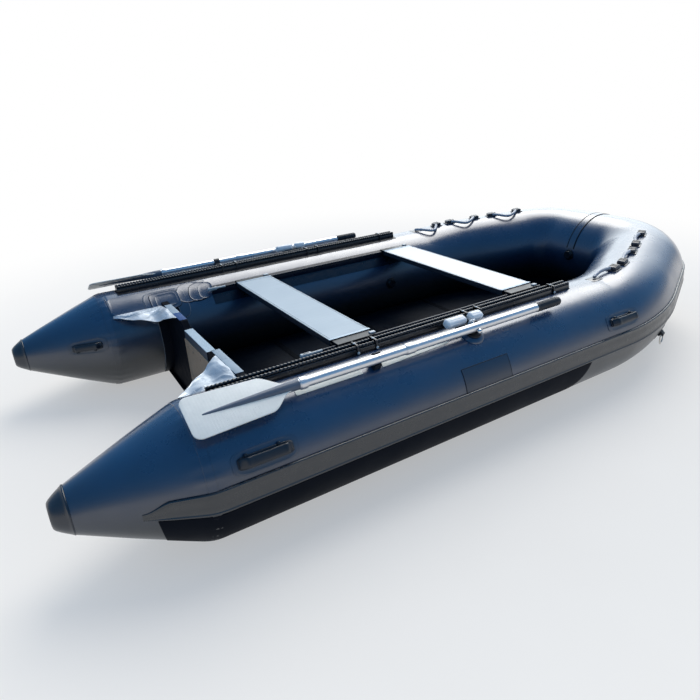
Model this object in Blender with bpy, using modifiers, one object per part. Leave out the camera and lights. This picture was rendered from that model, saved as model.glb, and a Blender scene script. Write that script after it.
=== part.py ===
"""Inflatable boat with a slatted floor, two sliding bench seats and a pair of stowed oars.

Metres, +X to the bow, +Y to port, +Z up. The origin lies on the ground under the middle of the hull.
Every port fitting is modelled once and mirrored to starboard.
"""
import math

import bpy
import bmesh
from mathutils import Matrix, Vector

# Hull, overall
LENGTH = 3.348
BEAM = 1.720
TUBE_DIAMETER = 0.445
GAP = 0.0003
SKIN_GAP = 0.0007
OVERRUN = 0.010
MERGE = 0.00001
PROBE = 0.001
FLAT_ANGLE = math.radians(0.2)

# Bow curve in plan, and its rise
SHOULDER_LENGTH = 0.645
SHOULDER_HALF = 0.335
KNUCKLE_RADIUS = 0.900
NOSE_RADIUS = 0.300
BOW_RISE = 0.075
RISE_POWER_SHARE = 1.2
SEAM_LEAD = 0.020
KNUCKLE_STEPS = 5
NOSE_STEPS = 7
TUBE_SIDES = 36

# Stern cones and their caps
CONE_LENGTH = 0.396
CAP_LENGTH = 0.050
CAP_RADIUS = 0.072
TIP_RADIUS = 0.040
CONE_LIFT = 0.018
CAP_LIP = 0.002
CAP_LIP_WIDTH = 0.010
TIP_ROUND = 0.008

# Nose seam band and rubbing strake
BAND_WIDTH = 0.044
BAND_OFFSET = -0.018
BAND_THICK = 0.0016
BAND_MARGIN_DEG = 2.0
STRAKE_THICK = 0.0045
STRAKE_RIB = 0.0080
STRAKE_AFT = 1.460
STRAKE_LOW_DEG = -5.0
STRAKE_HIGH_DEG = 14.0

# Bottom fabric and keel tube
SHEET_THICK = 0.002
SHEET_LOW = 0.006
SHEET_EDGE_DEG = -120.0
KEEL_RISE_START = 0.600
KEEL_POWER_SHARE = 2
KEEL_TUBE_RADIUS = 0.02365
KEEL_TUBE_FRONT = 0.585
KEEL_TUBE_AFT = 0.985

# Floor
BOARD_THICK = 0.012
BOARD_INBOARD_SHARE = 0.798
BOARD_LENGTH = 0.500
BOW_BOARD_LENGTH = 0.440
BOW_BOARD_NARROWING = 0.110
BOARD_MID_X = 0.0
FLANGE_THICK = 0.0015
JOINER_WIDTH = 0.030
JOINER_WEB = 0.004
JOINER_INSET = 0.028
STRINGER_WIDTH = 0.024
STRINGER_WALL = 0.003
STRINGER_AFT = 0.940
STRINGER_FRONT = 0.440

# Transom and what it carries
TRANSOM_X = -1.014
TRANSOM_THICK = 0.032
TRANSOM_BELOW_TUBE = 0.051
NOTCH_DEPTH = 0.028
NOTCH_HALF = 0.155
NOTCH_SHOULDER = 0.190
HOLDER_THICK = 0.003
HOLDER_AFT = 0.054
HOLDER_FRONT = 0.054
HOLDER_TOP_DEG = 140.0
HOLDER_LOW_DEG = 236.0
TRANSOM_EAR = 0.001
CAP_HALF = 0.140
CAP_WALL = 0.0025
CAP_LEG = 0.032
PAD_THICK = 0.005
PAD_HALF = 0.150
PAD_LOW = 0.130
PAD_ROUND = 0.012
CLEARANCE = 0.0005

# Cloth gussets between the transom and the tubes
GUSSET_LENGTH = 0.220
GUSSET_WIDTH = 0.235
GUSSET_TIP = 0.014
GUSSET_LIFT = 0.0026
GUSSET_THICK = 0.0014
GUSSET_DROP = 0.006
GUSSET_FOLD = 0.0050
GUSSET_EDGE_DEG = 135.0

# Bench seats
SEAT_BELOW_TUBE = 0.021
SEAT_WIDTH = 0.1816
SEAT_END_INSET = 0.030
SEAT_DEPTH = 0.024
SEAT_WALL = 0.0025
SEAT_LIP = 0.010
SEAT_ROUND = 0.003
GROOVE = 0.0008
GROOVE_WIDTH = 0.003
REAR_SEAT_X = -0.572
FRONT_SEAT_X = 0.3095

# Bead tracks and the seat sliders on them
TRACK_INBOARD_SHARE = 0.708
BEAD_RADIUS = 0.005
BEAD_BELOW_SEAT = 0.014
FLAP_HALF = 0.00125
TRACK_BASE_THICK = 0.0015
TRACK_BASE_TOP_DEG = 122.0
TRACK_BASE_LOW_DEG = 148.0
TRACK_AFT = 0.783
TRACK_FRONT = 0.427
SLIDER_LENGTH = 0.165
SLIDER_OUTER = 0.0165
SLIDER_DEPTH = 0.0170
SLIDER_HEAD = 0.0117
SLIDER_CHAMFER = 0.0090
CHANNEL_CLEAR = 0.0005
TONGUE_LENGTH = 0.036
TONGUE_THICK = 0.011

# Gunwale rails and their clips
RAIL_INBOARD = 0.006
RAIL_AFT = 1.190
RAIL_FRONT = 0.405
RAIL_HALF = 0.023
RAIL_BEAD = 0.0065
RAIL_BEAD_Y = 0.0135
RAIL_BEAD_Z = 0.0235
RAIL_GROOVE_Z = 0.0170
RAIL_GROOVE_HALF = 0.004
CLIP_WALL = 0.0018
CLIP_WIDTH = 0.007
CLIP_XS = (-0.668, -0.591, -0.178, -0.110, 0.307)

# Oars
OAR_ANGLE_DEG = 65.0
OAR_LIFT = 0.040
PIVOT_X = -0.223
SHAFT_RADIUS = 0.0165
BLADE_REACH = 1.069
BLADE_LENGTH = 0.317
BLADE_HALF = 0.076
BLADE_THICK = 0.005
BLADE_ROUND = 0.026
BLADE_STRAIGHT = 0.085
SPINE_LENGTH = 0.270
SPINE_TIP = 0.003
NECK_LENGTH = 0.030
HANDLE_REACH = 0.443
GRIP_LENGTH = 0.130
GRIP_RADIUS = 0.0180
GRIP_RIB = 0.0012
GRIP_RIB_PITCH = 0.020
COLLAR_WALL = 0.003
COLLAR_LENGTH = 0.024
COUPLING_REACH = 0.320
COUPLING_LENGTH = 0.036
PIN_CLEAR = 0.0004

# Oarlocks
PAD_RADIUS = 0.045
PAD_HEIGHT = 0.010
STUD_RADIUS = 0.006
STUD_HEAD_RADIUS = 0.010
STUD_HEAD_HEIGHT = 0.0027
HEAD_PLATE = 0.006
HEAD_RADIUS = 0.029
HEAD_GAP = 0.0004
ARM_SPAN = (-0.056, 0.046)
ARM_OUTER = 0.062
ARM_INNER = 0.018
KNUCKLE_INNER = 0.0325
KNUCKLE_OUTER = 0.072
KNUCKLE_TOP = 0.012
KNUCKLE_ROUND = 0.010
AFT_KNUCKLE = (-0.105, -0.006)
FORE_KNUCKLE = (0.010, 0.075)
EAR_THICK = 0.006
EAR_GAP = 0.0065
EAR_HALF = 0.014
EAR_TOP = 0.013
PIN_RADIUS = 0.004
PIN_HEAD_RADIUS = 0.007
PIN_HEAD_THICK = 0.003
BUSH_RADIUS = 0.008
KNOB_RADIUS = 0.0095
KNOB_THICK = 0.014

# Oar cradles
CRADLE_X = -0.653
CRADLE_WIDTH = 0.028
CRADLE_CLEAR = 0.001
CRADLE_WALL = 0.0035
CRADLE_OUT = 0.014
CRADLE_IN = 0.024
HOOK_END_DEG = 125.0

# Bow grab loops
LOOP_XS = (0.667, 0.917, 1.167)
LOOP_HALF = 0.084
LOOP_BLOCK = (0.036, 0.026, 0.012)
LOOP_ROPE = 0.0055
LOOP_RISE = 0.026
LOOP_SIDE_DEG = 20.0
LOOP_LIFTS = (0.0010, 0.0003, 0.0003)

# Lifting handles and tube patches
HANDLE_HALF = 0.068
HANDLE_HEIGHT = 0.033
HANDLE_BAR = 0.0080
HANDLE_FOOT = (0.046, 0.034, 0.007)
HANDLE_DEG = 29.0
STERN_HANDLE_X = -1.105
BOW_HANDLE_X = 0.540
CONE_HANDLE_X = -1.385
CONE_HANDLE_DEG = 165.0
CONE_HANDLE_HALF = 0.045
PATCH_THICK = 0.0014
OVAL_POWER_SHARE = 2.4
OVAL_TRIM_SHARE = 0.985
PATCH_HALF = 0.120
PATCH_TALL_HALF = 0.048
CONE_PATCH_HALF = 0.080
CONE_PATCH_TALL_HALF = 0.036

# Towing rings
RING_X = 0.934
RING_DEG = -25.0
RING_WIRE = 0.003
RING_HALF = 0.029
RING_DROP = 0.050
TAB_HALF = 0.048
TAB_TALL_HALF = 0.034
SLEEVE_RADIUS = 0.0085
SLEEVE_LENGTH = 0.026
SLEEVE_LIFT = 0.0125

# Valves
VALVE_FLANGE = 0.031
VALVE_CAP = 0.022
VALVE_FLANGE_HEIGHT = 0.004
VALVE_CAP_HEIGHT = 0.014
VALVE_SKIRT = 0.004
VALVE_X = 0.240
VALVE_DEG = 176.0

RADIUS = TUBE_DIAMETER / 2
TUBE_Y = BEAM / 2 - RADIUS
BOARD_HALF = TUBE_Y - BOARD_INBOARD_SHARE * RADIUS
JOINER_HALF = BOARD_HALF - JOINER_INSET
BOW_BOARD_FRONT_HALF = BOARD_HALF - BOW_BOARD_NARROWING
TRACK_Y = TUBE_Y - TRACK_INBOARD_SHARE * RADIUS
SEAT_LENGTH = 2 * (TRACK_Y - SEAT_END_INSET)
RAIL_Y = TUBE_Y - RAIL_INBOARD
STERN_X = -LENGTH / 2
NOSE_X = LENGTH / 2 - STRAKE_RIB - SKIN_GAP - RADIUS
CONE_X = STERN_X + CONE_LENGTH
KNUCKLE_TURN = math.atan2(TUBE_Y - SHOULDER_HALF, SHOULDER_LENGTH)
NOSE_TURN = math.pi / 2 - KNUCKLE_TURN
KNUCKLE_CUT = KNUCKLE_RADIUS * math.tan(KNUCKLE_TURN / 2)
NOSE_CUT = NOSE_RADIUS * math.tan(NOSE_TURN / 2)
JOINT_X = NOSE_X - SHOULDER_LENGTH - KNUCKLE_CUT
RUN_KNUCKLE = KNUCKLE_RADIUS * KNUCKLE_TURN
RUN_SHOULDER = math.hypot(SHOULDER_LENGTH, TUBE_Y - SHOULDER_HALF) - KNUCKLE_CUT - NOSE_CUT
RUN_NOSE = NOSE_RADIUS * NOSE_TURN
RUN_FRONT = SHOULDER_HALF - NOSE_CUT
BOW_RUN = RUN_KNUCKLE + RUN_SHOULDER + RUN_NOSE + RUN_FRONT
SEAT_TOP = TUBE_DIAMETER - SEAT_BELOW_TUBE
TRANSOM_TOP = TUBE_DIAMETER - TRANSOM_BELOW_TUBE
NOTCH_TOP = TRANSOM_TOP - NOTCH_DEPTH
BEAD_Z = SEAT_TOP - BEAD_BELOW_SEAT
FLOOR_Z = SHEET_LOW + GAP + 2 * KEEL_TUBE_RADIUS + GAP + FLANGE_THICK + GAP

COLOURS = {
    "tube_fabric": ((0.012, 0.045, 0.120, 1), 0.28, 0.0),
    "black_fabric": ((0.012, 0.014, 0.020, 1), 0.45, 0.0),
    "strake_rubber": ((0.020, 0.035, 0.060, 1), 0.40, 0.0),
    "seat_aluminium": ((0.640, 0.700, 0.760, 1), 0.45, 0.6),
    "black_plastic": ((0.010, 0.011, 0.015, 1), 0.40, 0.0),
    "floor_board": ((0.010, 0.014, 0.024, 1), 0.55, 0.0),
    "floor_aluminium": ((0.060, 0.070, 0.090, 1), 0.40, 0.6),
    "transom_paint": ((0.015, 0.018, 0.028, 1), 0.45, 0.0),
    "pad_plastic": ((0.330, 0.270, 0.210, 1), 0.55, 0.0),
    "cap_metal": ((0.520, 0.590, 0.660, 1), 0.40, 0.5),
    "silver_cloth": ((0.420, 0.450, 0.480, 1), 0.40, 0.3),
    "shaft_aluminium": ((0.560, 0.580, 0.620, 1), 0.25, 0.9),
    "blade_plastic": ((0.740, 0.740, 0.720, 1), 0.50, 0.0),
    "grey_plastic": ((0.520, 0.560, 0.610, 1), 0.35, 0.0),
    "steel": ((0.600, 0.600, 0.610, 1), 0.22, 1.0),
    "loop_rope": ((0.060, 0.070, 0.090, 1), 0.60, 0.0),
    "ring_steel": ((0.700, 0.690, 0.660, 1), 0.25, 0.9),
}

for old in list(bpy.data.objects):
    bpy.data.objects.remove(old, do_unlink=True)

PARTS = bpy.data.collections.new("inflatable_boat")
CUTTERS = bpy.data.collections.new("cutters")
bpy.context.scene.collection.children.link(PARTS)
bpy.context.scene.collection.children.link(CUTTERS)


def material(name):
    """The sub-part's own Principled material."""
    found = bpy.data.materials.get(name)
    if found:
        return found
    colour, rough, metal = COLOURS[name]
    made = bpy.data.materials.new(name)
    made.use_nodes = True
    shader = made.node_tree.nodes["Principled BSDF"]
    shader.inputs["Base Color"].default_value = colour
    shader.inputs["Roughness"].default_value = rough
    shader.inputs["Metallic"].default_value = metal
    made.diffuse_color = colour
    return made


def to_object(name, data, where=None):
    """Link mesh or curve data as an object, at a matrix if one is given."""
    made = bpy.data.objects.new(name, data)
    PARTS.objects.link(made)
    if where is not None:
        made.matrix_world = where
    return made


def bake(source, name, look, smooth_deg=35.0):
    """Turn a curve or a modified object into one plain welded mesh in world coordinates."""
    bpy.context.view_layer.update()
    graph = bpy.context.evaluated_depsgraph_get()
    mesh = bpy.data.meshes.new_from_object(source.evaluated_get(graph))
    mesh.transform(source.matrix_world)
    bpy.data.objects.remove(source, do_unlink=True)
    work = bmesh.new()
    work.from_mesh(mesh)
    bmesh.ops.remove_doubles(work, verts=work.verts, dist=MERGE)
    bmesh.ops.recalc_face_normals(work, faces=work.faces)
    work.to_mesh(mesh)
    work.free()
    mesh.name = name
    mesh.materials.clear()
    mesh.materials.append(material(look))
    mesh.shade_smooth()
    mesh.set_sharp_from_angle(angle=math.radians(smooth_deg))
    return to_object(name, mesh)


def rod(points, radius, radii=None, sides=12, cyclic=False):
    """A curve object with a round bevel and filled caps, made into a mesh object."""
    data = bpy.data.curves.new("rod", "CURVE")
    data.dimensions = "3D"
    data.bevel_depth = radius
    data.bevel_resolution = (sides - 4) // 2
    data.use_fill_caps = True
    line = data.splines.new("POLY")
    line.points.add(len(points) - 1)
    for i, p in enumerate(points):
        line.points[i].co = (p[0], p[1], p[2], 1)
        line.points[i].radius = 1 if radii is None else radii[i] / radius
    line.use_cyclic_u = cyclic
    return bake(to_object("rod", data), "rod", "black_plastic")


def plate(outline, thick, where):
    """A flat outline thickened about its own plane, placed by a matrix."""
    data = bpy.data.curves.new("plate", "CURVE")
    data.dimensions = "2D"
    data.fill_mode = "BOTH"
    data.extrude = thick / 2
    line = data.splines.new("POLY")
    line.points.add(len(outline) - 1)
    for i, p in enumerate(outline):
        line.points[i].co = (p[0], p[1], 0, 1)
    line.use_cyclic_u = True
    return bake(to_object("plate", data, where), "plate", "black_plastic")


def turned(profile, where, steps=24):
    """A profile of (radius, height) turned about the matrix's Z axis."""
    mesh = bpy.data.meshes.new("turned")
    mesh.from_pydata([(r, 0, h) for r, h in profile], [(i, i + 1) for i in range(len(profile) - 1)], [])
    made = to_object("turned", mesh, where)
    screw = made.modifiers.new("Screw", "SCREW")
    screw.axis = "Z"
    screw.steps = screw.render_steps = steps
    screw.use_merge_vertices = True
    screw.merge_threshold = MERGE
    return bake(made, "turned", "black_plastic")


def block(low, high, where=None, rounding=0.0, segments=2):
    """A box between two corners, with rounded edges."""
    work = bmesh.new()
    bmesh.ops.create_cube(work, size=1)
    for v in work.verts:
        v.co = Vector([(low[k] + high[k]) / 2 + v.co[k] * (high[k] - low[k]) for k in range(3)])
    mesh = bpy.data.meshes.new("block")
    work.to_mesh(mesh)
    work.free()
    made = to_object("block", mesh, where)
    if rounding:
        bevel = made.modifiers.new("Bevel", "BEVEL")
        bevel.width = rounding
        bevel.segments = segments
    return bake(made, "block", "black_plastic")


def combine(target, other, operation):
    """Boolean of two objects, which uses both up; flat regions come out as single faces."""
    CUTTERS.objects.link(other)
    PARTS.objects.unlink(other)
    other.hide_render = True
    other.display_type = "WIRE"
    step = target.modifiers.new("Boolean", "BOOLEAN")
    step.operation = operation
    step.solver = "EXACT"
    step.object = other
    made = bake(target, "combined", "black_plastic")
    bpy.data.objects.remove(other, do_unlink=True)
    work = bmesh.new()
    work.from_mesh(made.data)
    bmesh.ops.dissolve_limit(work, angle_limit=FLAT_ANGLE, verts=work.verts, edges=work.edges)
    work.to_mesh(made.data)
    work.free()
    return made


def gather(pieces):
    """Separate bodies held in one object."""
    work = bmesh.new()
    for piece in pieces:
        work.from_mesh(piece.data)
        bpy.data.objects.remove(piece, do_unlink=True)
    mesh = bpy.data.meshes.new("gathered")
    work.to_mesh(mesh)
    work.free()
    return to_object("gathered", mesh)


def loft(rings):
    """A closed solid through rings of matching points."""
    work = bmesh.new()
    rows = [[work.verts.new(p) for p in ring] for ring in rings]
    count = len(rings[0])
    for a, b in zip(rows[:-1], rows[1:]):
        for i in range(count):
            work.faces.new((a[i], a[(i + 1) % count], b[(i + 1) % count], b[i]))
    work.faces.new(rows[0])
    work.faces.new(rows[-1])
    mesh = bpy.data.meshes.new("loft")
    work.to_mesh(mesh)
    work.free()
    return bake(to_object("loft", mesh), "loft", "black_plastic")


def sheet(rows, thick, towards):
    """An open grid of points with Solidify, thickened to the side that a vector points to."""
    work = bmesh.new()
    grid = [[work.verts.new(p) for p in row] for row in rows]
    for a, b in zip(grid[:-1], grid[1:]):
        for i in range(len(a) - 1):
            work.faces.new((a[i], a[i + 1], b[i + 1], b[i]))
    work.normal_update()
    middle = list(work.faces)[len(work.faces) // 2]
    if middle.normal.dot(towards) < 0:
        bmesh.ops.reverse_faces(work, faces=work.faces)
    mesh = bpy.data.meshes.new("sheet")
    work.to_mesh(mesh)
    work.free()
    made = to_object("sheet", mesh)
    solid = made.modifiers.new("Solidify", "SOLIDIFY")
    solid.thickness = thick
    solid.offset = 1
    solid.use_even_offset = True
    return bake(made, "sheet", "black_plastic")


def named(source, name, look, origin=None, smooth_deg=35.0):
    """Give a finished piece its name, material and, if it moves, its origin."""
    made = bake(source, name, look, smooth_deg)
    if origin is not None:
        made.data.transform(Matrix.Translation(-Vector(origin)))
        made.location = origin
    return made


def mirrored(source, name):
    """The starboard copy of a port piece."""
    mesh = source.data.copy()
    mesh.name = name
    mesh.transform(Matrix.Diagonal((1, -1, 1, 1)))
    mesh.flip_normals()
    made = to_object(name, mesh)
    made.location = Vector((source.location.x, -source.location.y, source.location.z))
    return made


def both_sides(source, name, look, origin=None):
    port = named(source, name + "_port", look, origin)
    mirrored(port, name + "_starboard")


def upright(x):
    """A frame whose outline plane is YZ and whose thickness runs along X."""
    return Matrix(((0, 0, 1, x), (1, 0, 0, 0), (0, 1, 0, 0), (0, 0, 0, 1)))


def sideways(y):
    """A frame whose outline plane is XZ and whose thickness runs along Y."""
    return Matrix(((1, 0, 0, 0), (0, 0, -1, y), (0, 1, 0, 0), (0, 0, 0, 1)))


def arc(centre, radius, start_deg, end_deg, count):
    """Points of an arc, both ends included."""
    out = []
    for i in range(count):
        a = math.radians(start_deg + (end_deg - start_deg) * i / (count - 1))
        out.append((centre[0] + radius * math.cos(a), centre[1] + radius * math.sin(a)))
    return out


def station(s):
    """Tube centre, direction and radius at a run s from the bend, aft of it if negative."""
    if s <= 0:
        x = JOINT_X + s
        if x >= CONE_X:
            return Vector((x, TUBE_Y, RADIUS)), 0.0, 0.0, RADIUS
        share = (CONE_X - x) / (CONE_LENGTH - CAP_LENGTH)
        rise = CONE_LIFT * share
        lean = -CONE_LIFT / (CONE_LENGTH - CAP_LENGTH) / 2
        return Vector((x, TUBE_Y, RADIUS + rise)), 0.0, lean, RADIUS + (CAP_RADIUS - RADIUS) * share
    if s < RUN_KNUCKLE:
        turn = s / KNUCKLE_RADIUS
        x = JOINT_X + KNUCKLE_RADIUS * math.sin(turn)
        y = TUBE_Y - KNUCKLE_RADIUS * (1 - math.cos(turn))
    elif s < RUN_KNUCKLE + RUN_SHOULDER:
        turn = KNUCKLE_TURN
        on = KNUCKLE_CUT + s - RUN_KNUCKLE
        x = NOSE_X - SHOULDER_LENGTH + on * math.cos(turn)
        y = TUBE_Y - on * math.sin(turn)
    elif s < BOW_RUN - RUN_FRONT:
        turn = KNUCKLE_TURN + (s - RUN_KNUCKLE - RUN_SHOULDER) / NOSE_RADIUS
        x = NOSE_X - NOSE_RADIUS + NOSE_RADIUS * math.sin(turn)
        y = RUN_FRONT + NOSE_RADIUS * math.cos(turn)
    else:
        turn = math.pi / 2
        x = NOSE_X
        y = BOW_RUN - s
    share = max(0.0, (x - JOINT_X) / (NOSE_X - JOINT_X))
    rise = BOW_RISE * share ** RISE_POWER_SHARE
    slope = BOW_RISE * RISE_POWER_SHARE * share ** (RISE_POWER_SHARE - 1) / (NOSE_X - JOINT_X) * math.cos(turn)
    return Vector((x, y, RADIUS + rise)), turn, slope, RADIUS


def ring_point(centre, along, radius, angle_deg):
    """A point of the tube's round: 0 degrees is outboard, 90 the top, 180 inboard."""
    out = Vector((-along.y, along.x, 0)).normalized()
    up = along.cross(out)
    a = math.radians(angle_deg)
    return centre + radius * (math.cos(a) * out + math.sin(a) * up)


def on_tube(s, angle_deg, lift=0.0):
    """A point over the port tube's skin at a run s; between two bow rings the skin is straight."""
    if s <= RUNS[0]:
        centre, turn, slope, radius = station(s)
        along = Vector((math.cos(turn), -math.sin(turn), slope)).normalized()
        return ring_point(centre, along, radius + lift, angle_deg)
    i = max(k for k in range(len(RUNS)) if RUNS[k] <= s)
    after = RUNS[i + 1] if i + 1 < len(RUNS) else 2 * BOW_RUN - RUNS[i]
    ends = [ring_point(centre, along, RADIUS + lift, angle_deg) for centre, along in RINGS[i:i + 2]]
    return ends[0].lerp(ends[1], (s - RUNS[i]) / (after - RUNS[i]))


def bow_runs():
    """Runs of the bow's rings up to the straight front, closer where it bends more."""
    runs = [-SEAM_LEAD] + [RUN_KNUCKLE * i / KNUCKLE_STEPS for i in range(KNUCKLE_STEPS + 1)]
    start = RUN_KNUCKLE + RUN_SHOULDER
    return runs + [start + RUN_NOSE * i / NOSE_STEPS for i in range(NOSE_STEPS + 1)]


def bow_rings(runs):
    """Centre and direction of the port bow's rings, as a bevelled curve turns them, and of the next one."""
    centres = [station(s)[0] for s in runs]
    last = centres[-1]
    centres.append(Vector((last.x, -last.y, last.z)))
    rings = [(centres[0], Vector((1, 0, 0)))]
    for a, b, c in zip(centres, centres[1:], centres[2:]):
        rings.append((b, ((b - a).normalized() + (c - b).normalized()).normalized()))
    along = rings[-1][1]
    return rings + [(centres[-1], Vector((-along.x, along.y, -along.z)))]


RUNS = bow_runs()
RINGS = bow_rings(RUNS)


def run_at(x, angle_deg=90.0):
    """The run whose skin lies at a given X, up to the nose."""
    low, high = STERN_X - JOINT_X, RUNS[-1]
    for _ in range(50):
        middle = (low + high) / 2
        if on_tube(middle, angle_deg).x < x:
            low = middle
        else:
            high = middle
    return low


def seat_frame(s, angle_deg, lift=0.0):
    """A frame on the skin: X forward, Y round towards the water, Z out of the skin."""
    here = on_tube(s, angle_deg)
    probe_deg = math.degrees(PROBE / RADIUS)
    fore = (on_tube(s + PROBE, angle_deg) - on_tube(s - PROBE, angle_deg)).normalized()
    round_ = on_tube(s, angle_deg - probe_deg) - on_tube(s, angle_deg + probe_deg)
    out = fore.cross(round_).normalized()
    round_ = out.cross(fore)
    here = here + out * lift
    return Matrix(((fore.x, round_.x, out.x, here.x), (fore.y, round_.y, out.y, here.y),
                   (fore.z, round_.z, out.z, here.z), (0, 0, 0, 1)))


def side_tubes():
    """A straight tube that narrows to a cone and ends in a moulded cap."""
    seam, low = STERN_X + CAP_LENGTH, RADIUS + CONE_LIFT
    knots = [(STERN_X, low, TIP_RADIUS), (STERN_X + TIP_ROUND, low, TIP_RADIUS + TIP_ROUND),
             (seam - CAP_LIP_WIDTH, low, CAP_RADIUS), (seam - CAP_LIP_WIDTH + CAP_LIP, low, CAP_RADIUS + CAP_LIP),
             (seam, low, CAP_RADIUS + CAP_LIP), (seam + GAP, low, CAP_RADIUS), (CONE_X, RADIUS, RADIUS),
             (JOINT_X - SEAM_LEAD, RADIUS, RADIUS)]
    points = [(x, TUBE_Y, z) for x, z, r in knots]
    both_sides(rod(points, RADIUS, [r for x, z, r in knots], sides=TUBE_SIDES), "side_tube", "tube_fabric")


def bow_tube():
    """One tube round the bow, from the port side tube to the starboard one."""
    port = [centre for centre, along in RINGS[:-1]]
    port[0] = port[0] + Vector((GAP, 0, 0))
    points = port + [Vector((p.x, -p.y, p.z)) for p in port[::-1]]
    named(rod(points, RADIUS, sides=TUBE_SIDES), "bow_tube", "tube_fabric")


def nose_band():
    """A glued band over the seam at the nose, from above the strake down to the bow valve."""
    first = STRAKE_HIGH_DEG + BAND_MARGIN_DEG
    last = VALVE_DEG - math.degrees(VALVE_FLANGE / RADIUS) - BAND_MARGIN_DEG
    reach = RADIUS + SKIN_GAP
    rows = []
    for y in (BAND_OFFSET - BAND_WIDTH / 2, BAND_OFFSET + BAND_WIDTH / 2):
        arch = arc((NOSE_X, RADIUS + BOW_RISE), reach, first, last, 18)
        rows.append([(x, y, z) for x, z in arch])
    named(sheet(rows, BAND_THICK, Vector((0, 0, 1))), "nose_band", "tube_fabric")


def strake():
    """A flat rubber strip with a raised rib along each edge, from cone to cone round the nose."""
    span = STRAKE_HIGH_DEG - STRAKE_LOW_DEG
    profile_shares = [(0, 0), (0, 1), (0.05, 2), (0.13, 2), (0.18, 1), (0.82, 1), (0.87, 2), (0.95, 2),
                      (1, 1), (1, 0), (0.66, 0), (0.33, 0)]
    heights = (SKIN_GAP, SKIN_GAP + STRAKE_THICK, SKIN_GAP + STRAKE_RIB)
    port = []
    for s in [-STRAKE_AFT - JOINT_X, CONE_X - JOINT_X] + RUNS:
        port.append([on_tube(s, STRAKE_LOW_DEG + span * f, heights[h]) for f, h in profile_shares])
    rings = port + [[Vector((p.x, -p.y, p.z)) for p in ring] for ring in port[::-1]]
    named(loft(rings), "rubbing_strake", "strake_rubber")


def keel_z(x):
    """Height of the bottom fabric's upper side on the centre line."""
    top = on_tube(BOW_RUN, SHEET_EDGE_DEG, SKIN_GAP)
    share = max(0.0, (x - KEEL_RISE_START) / (top.x - KEEL_RISE_START))
    return SHEET_LOW + (top.z - SHEET_LOW) * min(1.0, share) ** KEEL_POWER_SHARE


def sheet_z(y):
    """Height of the bottom fabric across the straight hull."""
    edge = on_tube(-JOINT_X, SHEET_EDGE_DEG, SKIN_GAP)
    return SHEET_LOW + (edge.z - SHEET_LOW) * abs(y) / edge.y


def hull_bottom():
    """The bottom fabric: a shallow V between the tubes that sweeps up under the bow."""
    rows = []
    for s in [TRANSOM_X - TRANSOM_THICK - JOINT_X, -JOINT_X] + RUNS:
        edge = on_tube(s, SHEET_EDGE_DEG, SKIN_GAP)
        low = keel_z(edge.x)
        rows.append([(edge.x, edge.y * j, low + (edge.z - low) * abs(j)) for j in (-1, 0, 1)])
    named(sheet(rows, SHEET_THICK, Vector((0, 0, -1))), "hull_bottom", "black_fabric")


def keel_tube():
    xs = [-KEEL_TUBE_AFT, 0, KEEL_TUBE_FRONT]
    points = [(x, 0, SHEET_LOW + GAP + KEEL_TUBE_RADIUS) for x in xs]
    named(rod(points, KEEL_TUBE_RADIUS, sides=16), "keel_tube", "tube_fabric")


def joiner_xs():
    return [BOARD_MID_X - BOARD_LENGTH, BOARD_MID_X, BOARD_MID_X + BOARD_LENGTH]


def floor_boards():
    """Four boards held end to end by joining strips; the bow board narrows forward."""
    cuts = joiner_xs()
    spans = [(cuts[0] - BOARD_LENGTH + OVERRUN, cuts[0]), (cuts[0], cuts[1]), (cuts[1], cuts[2])]
    seam = JOINER_WEB / 2
    middle = Matrix.Translation((0, 0, FLOOR_Z + BOARD_THICK / 2))
    a, b = cuts[2] + seam, cuts[2] + BOW_BOARD_LENGTH
    taper_share = 0.3
    bow = [(a, -BOARD_HALF), (a + (b - a) * taper_share, -BOARD_HALF), (b, -BOW_BOARD_FRONT_HALF),
           (b, BOW_BOARD_FRONT_HALF), (a + (b - a) * taper_share, BOARD_HALF), (a, BOARD_HALF)]
    outlines = [bow]
    for a, b in spans:
        a, b = a + seam, b - seam
        outlines.append([(a, -BOARD_HALF), (b, -BOARD_HALF), (b, BOARD_HALF), (a, BOARD_HALF)])
    boards = gather([plate(outline, BOARD_THICK, middle) for outline in outlines])
    strips = []
    for x in cuts:
        low = (x - JOINER_WIDTH / 2, -JOINER_HALF, FLOOR_Z - FLANGE_THICK)
        high = (x + JOINER_WIDTH / 2, JOINER_HALF, FLOOR_Z + BOARD_THICK + FLANGE_THICK)
        strips.append(block(low, high))
    named(combine(boards, gather(strips), "UNION"), "floor_boards", "floor_board")


def floor_stringers():
    """Channels that hold the boards' outer edges in line."""
    low, high = FLOOR_Z - GAP, FLOOR_Z + BOARD_THICK + GAP
    outer, inner = BOARD_HALF + GAP + STRINGER_WALL, BOARD_HALF + GAP
    outline = [(outer, low - FLANGE_THICK), (outer, high + FLANGE_THICK),
               (outer - STRINGER_WIDTH, high + FLANGE_THICK), (outer - STRINGER_WIDTH, high), (inner, high),
               (inner, low), (outer - STRINGER_WIDTH, low), (outer - STRINGER_WIDTH, low - FLANGE_THICK)]
    length = STRINGER_AFT + STRINGER_FRONT
    channel = plate(outline, length, upright((STRINGER_FRONT - STRINGER_AFT) / 2))
    both_sides(channel, "floor_stringer", "floor_aluminium")


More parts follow.
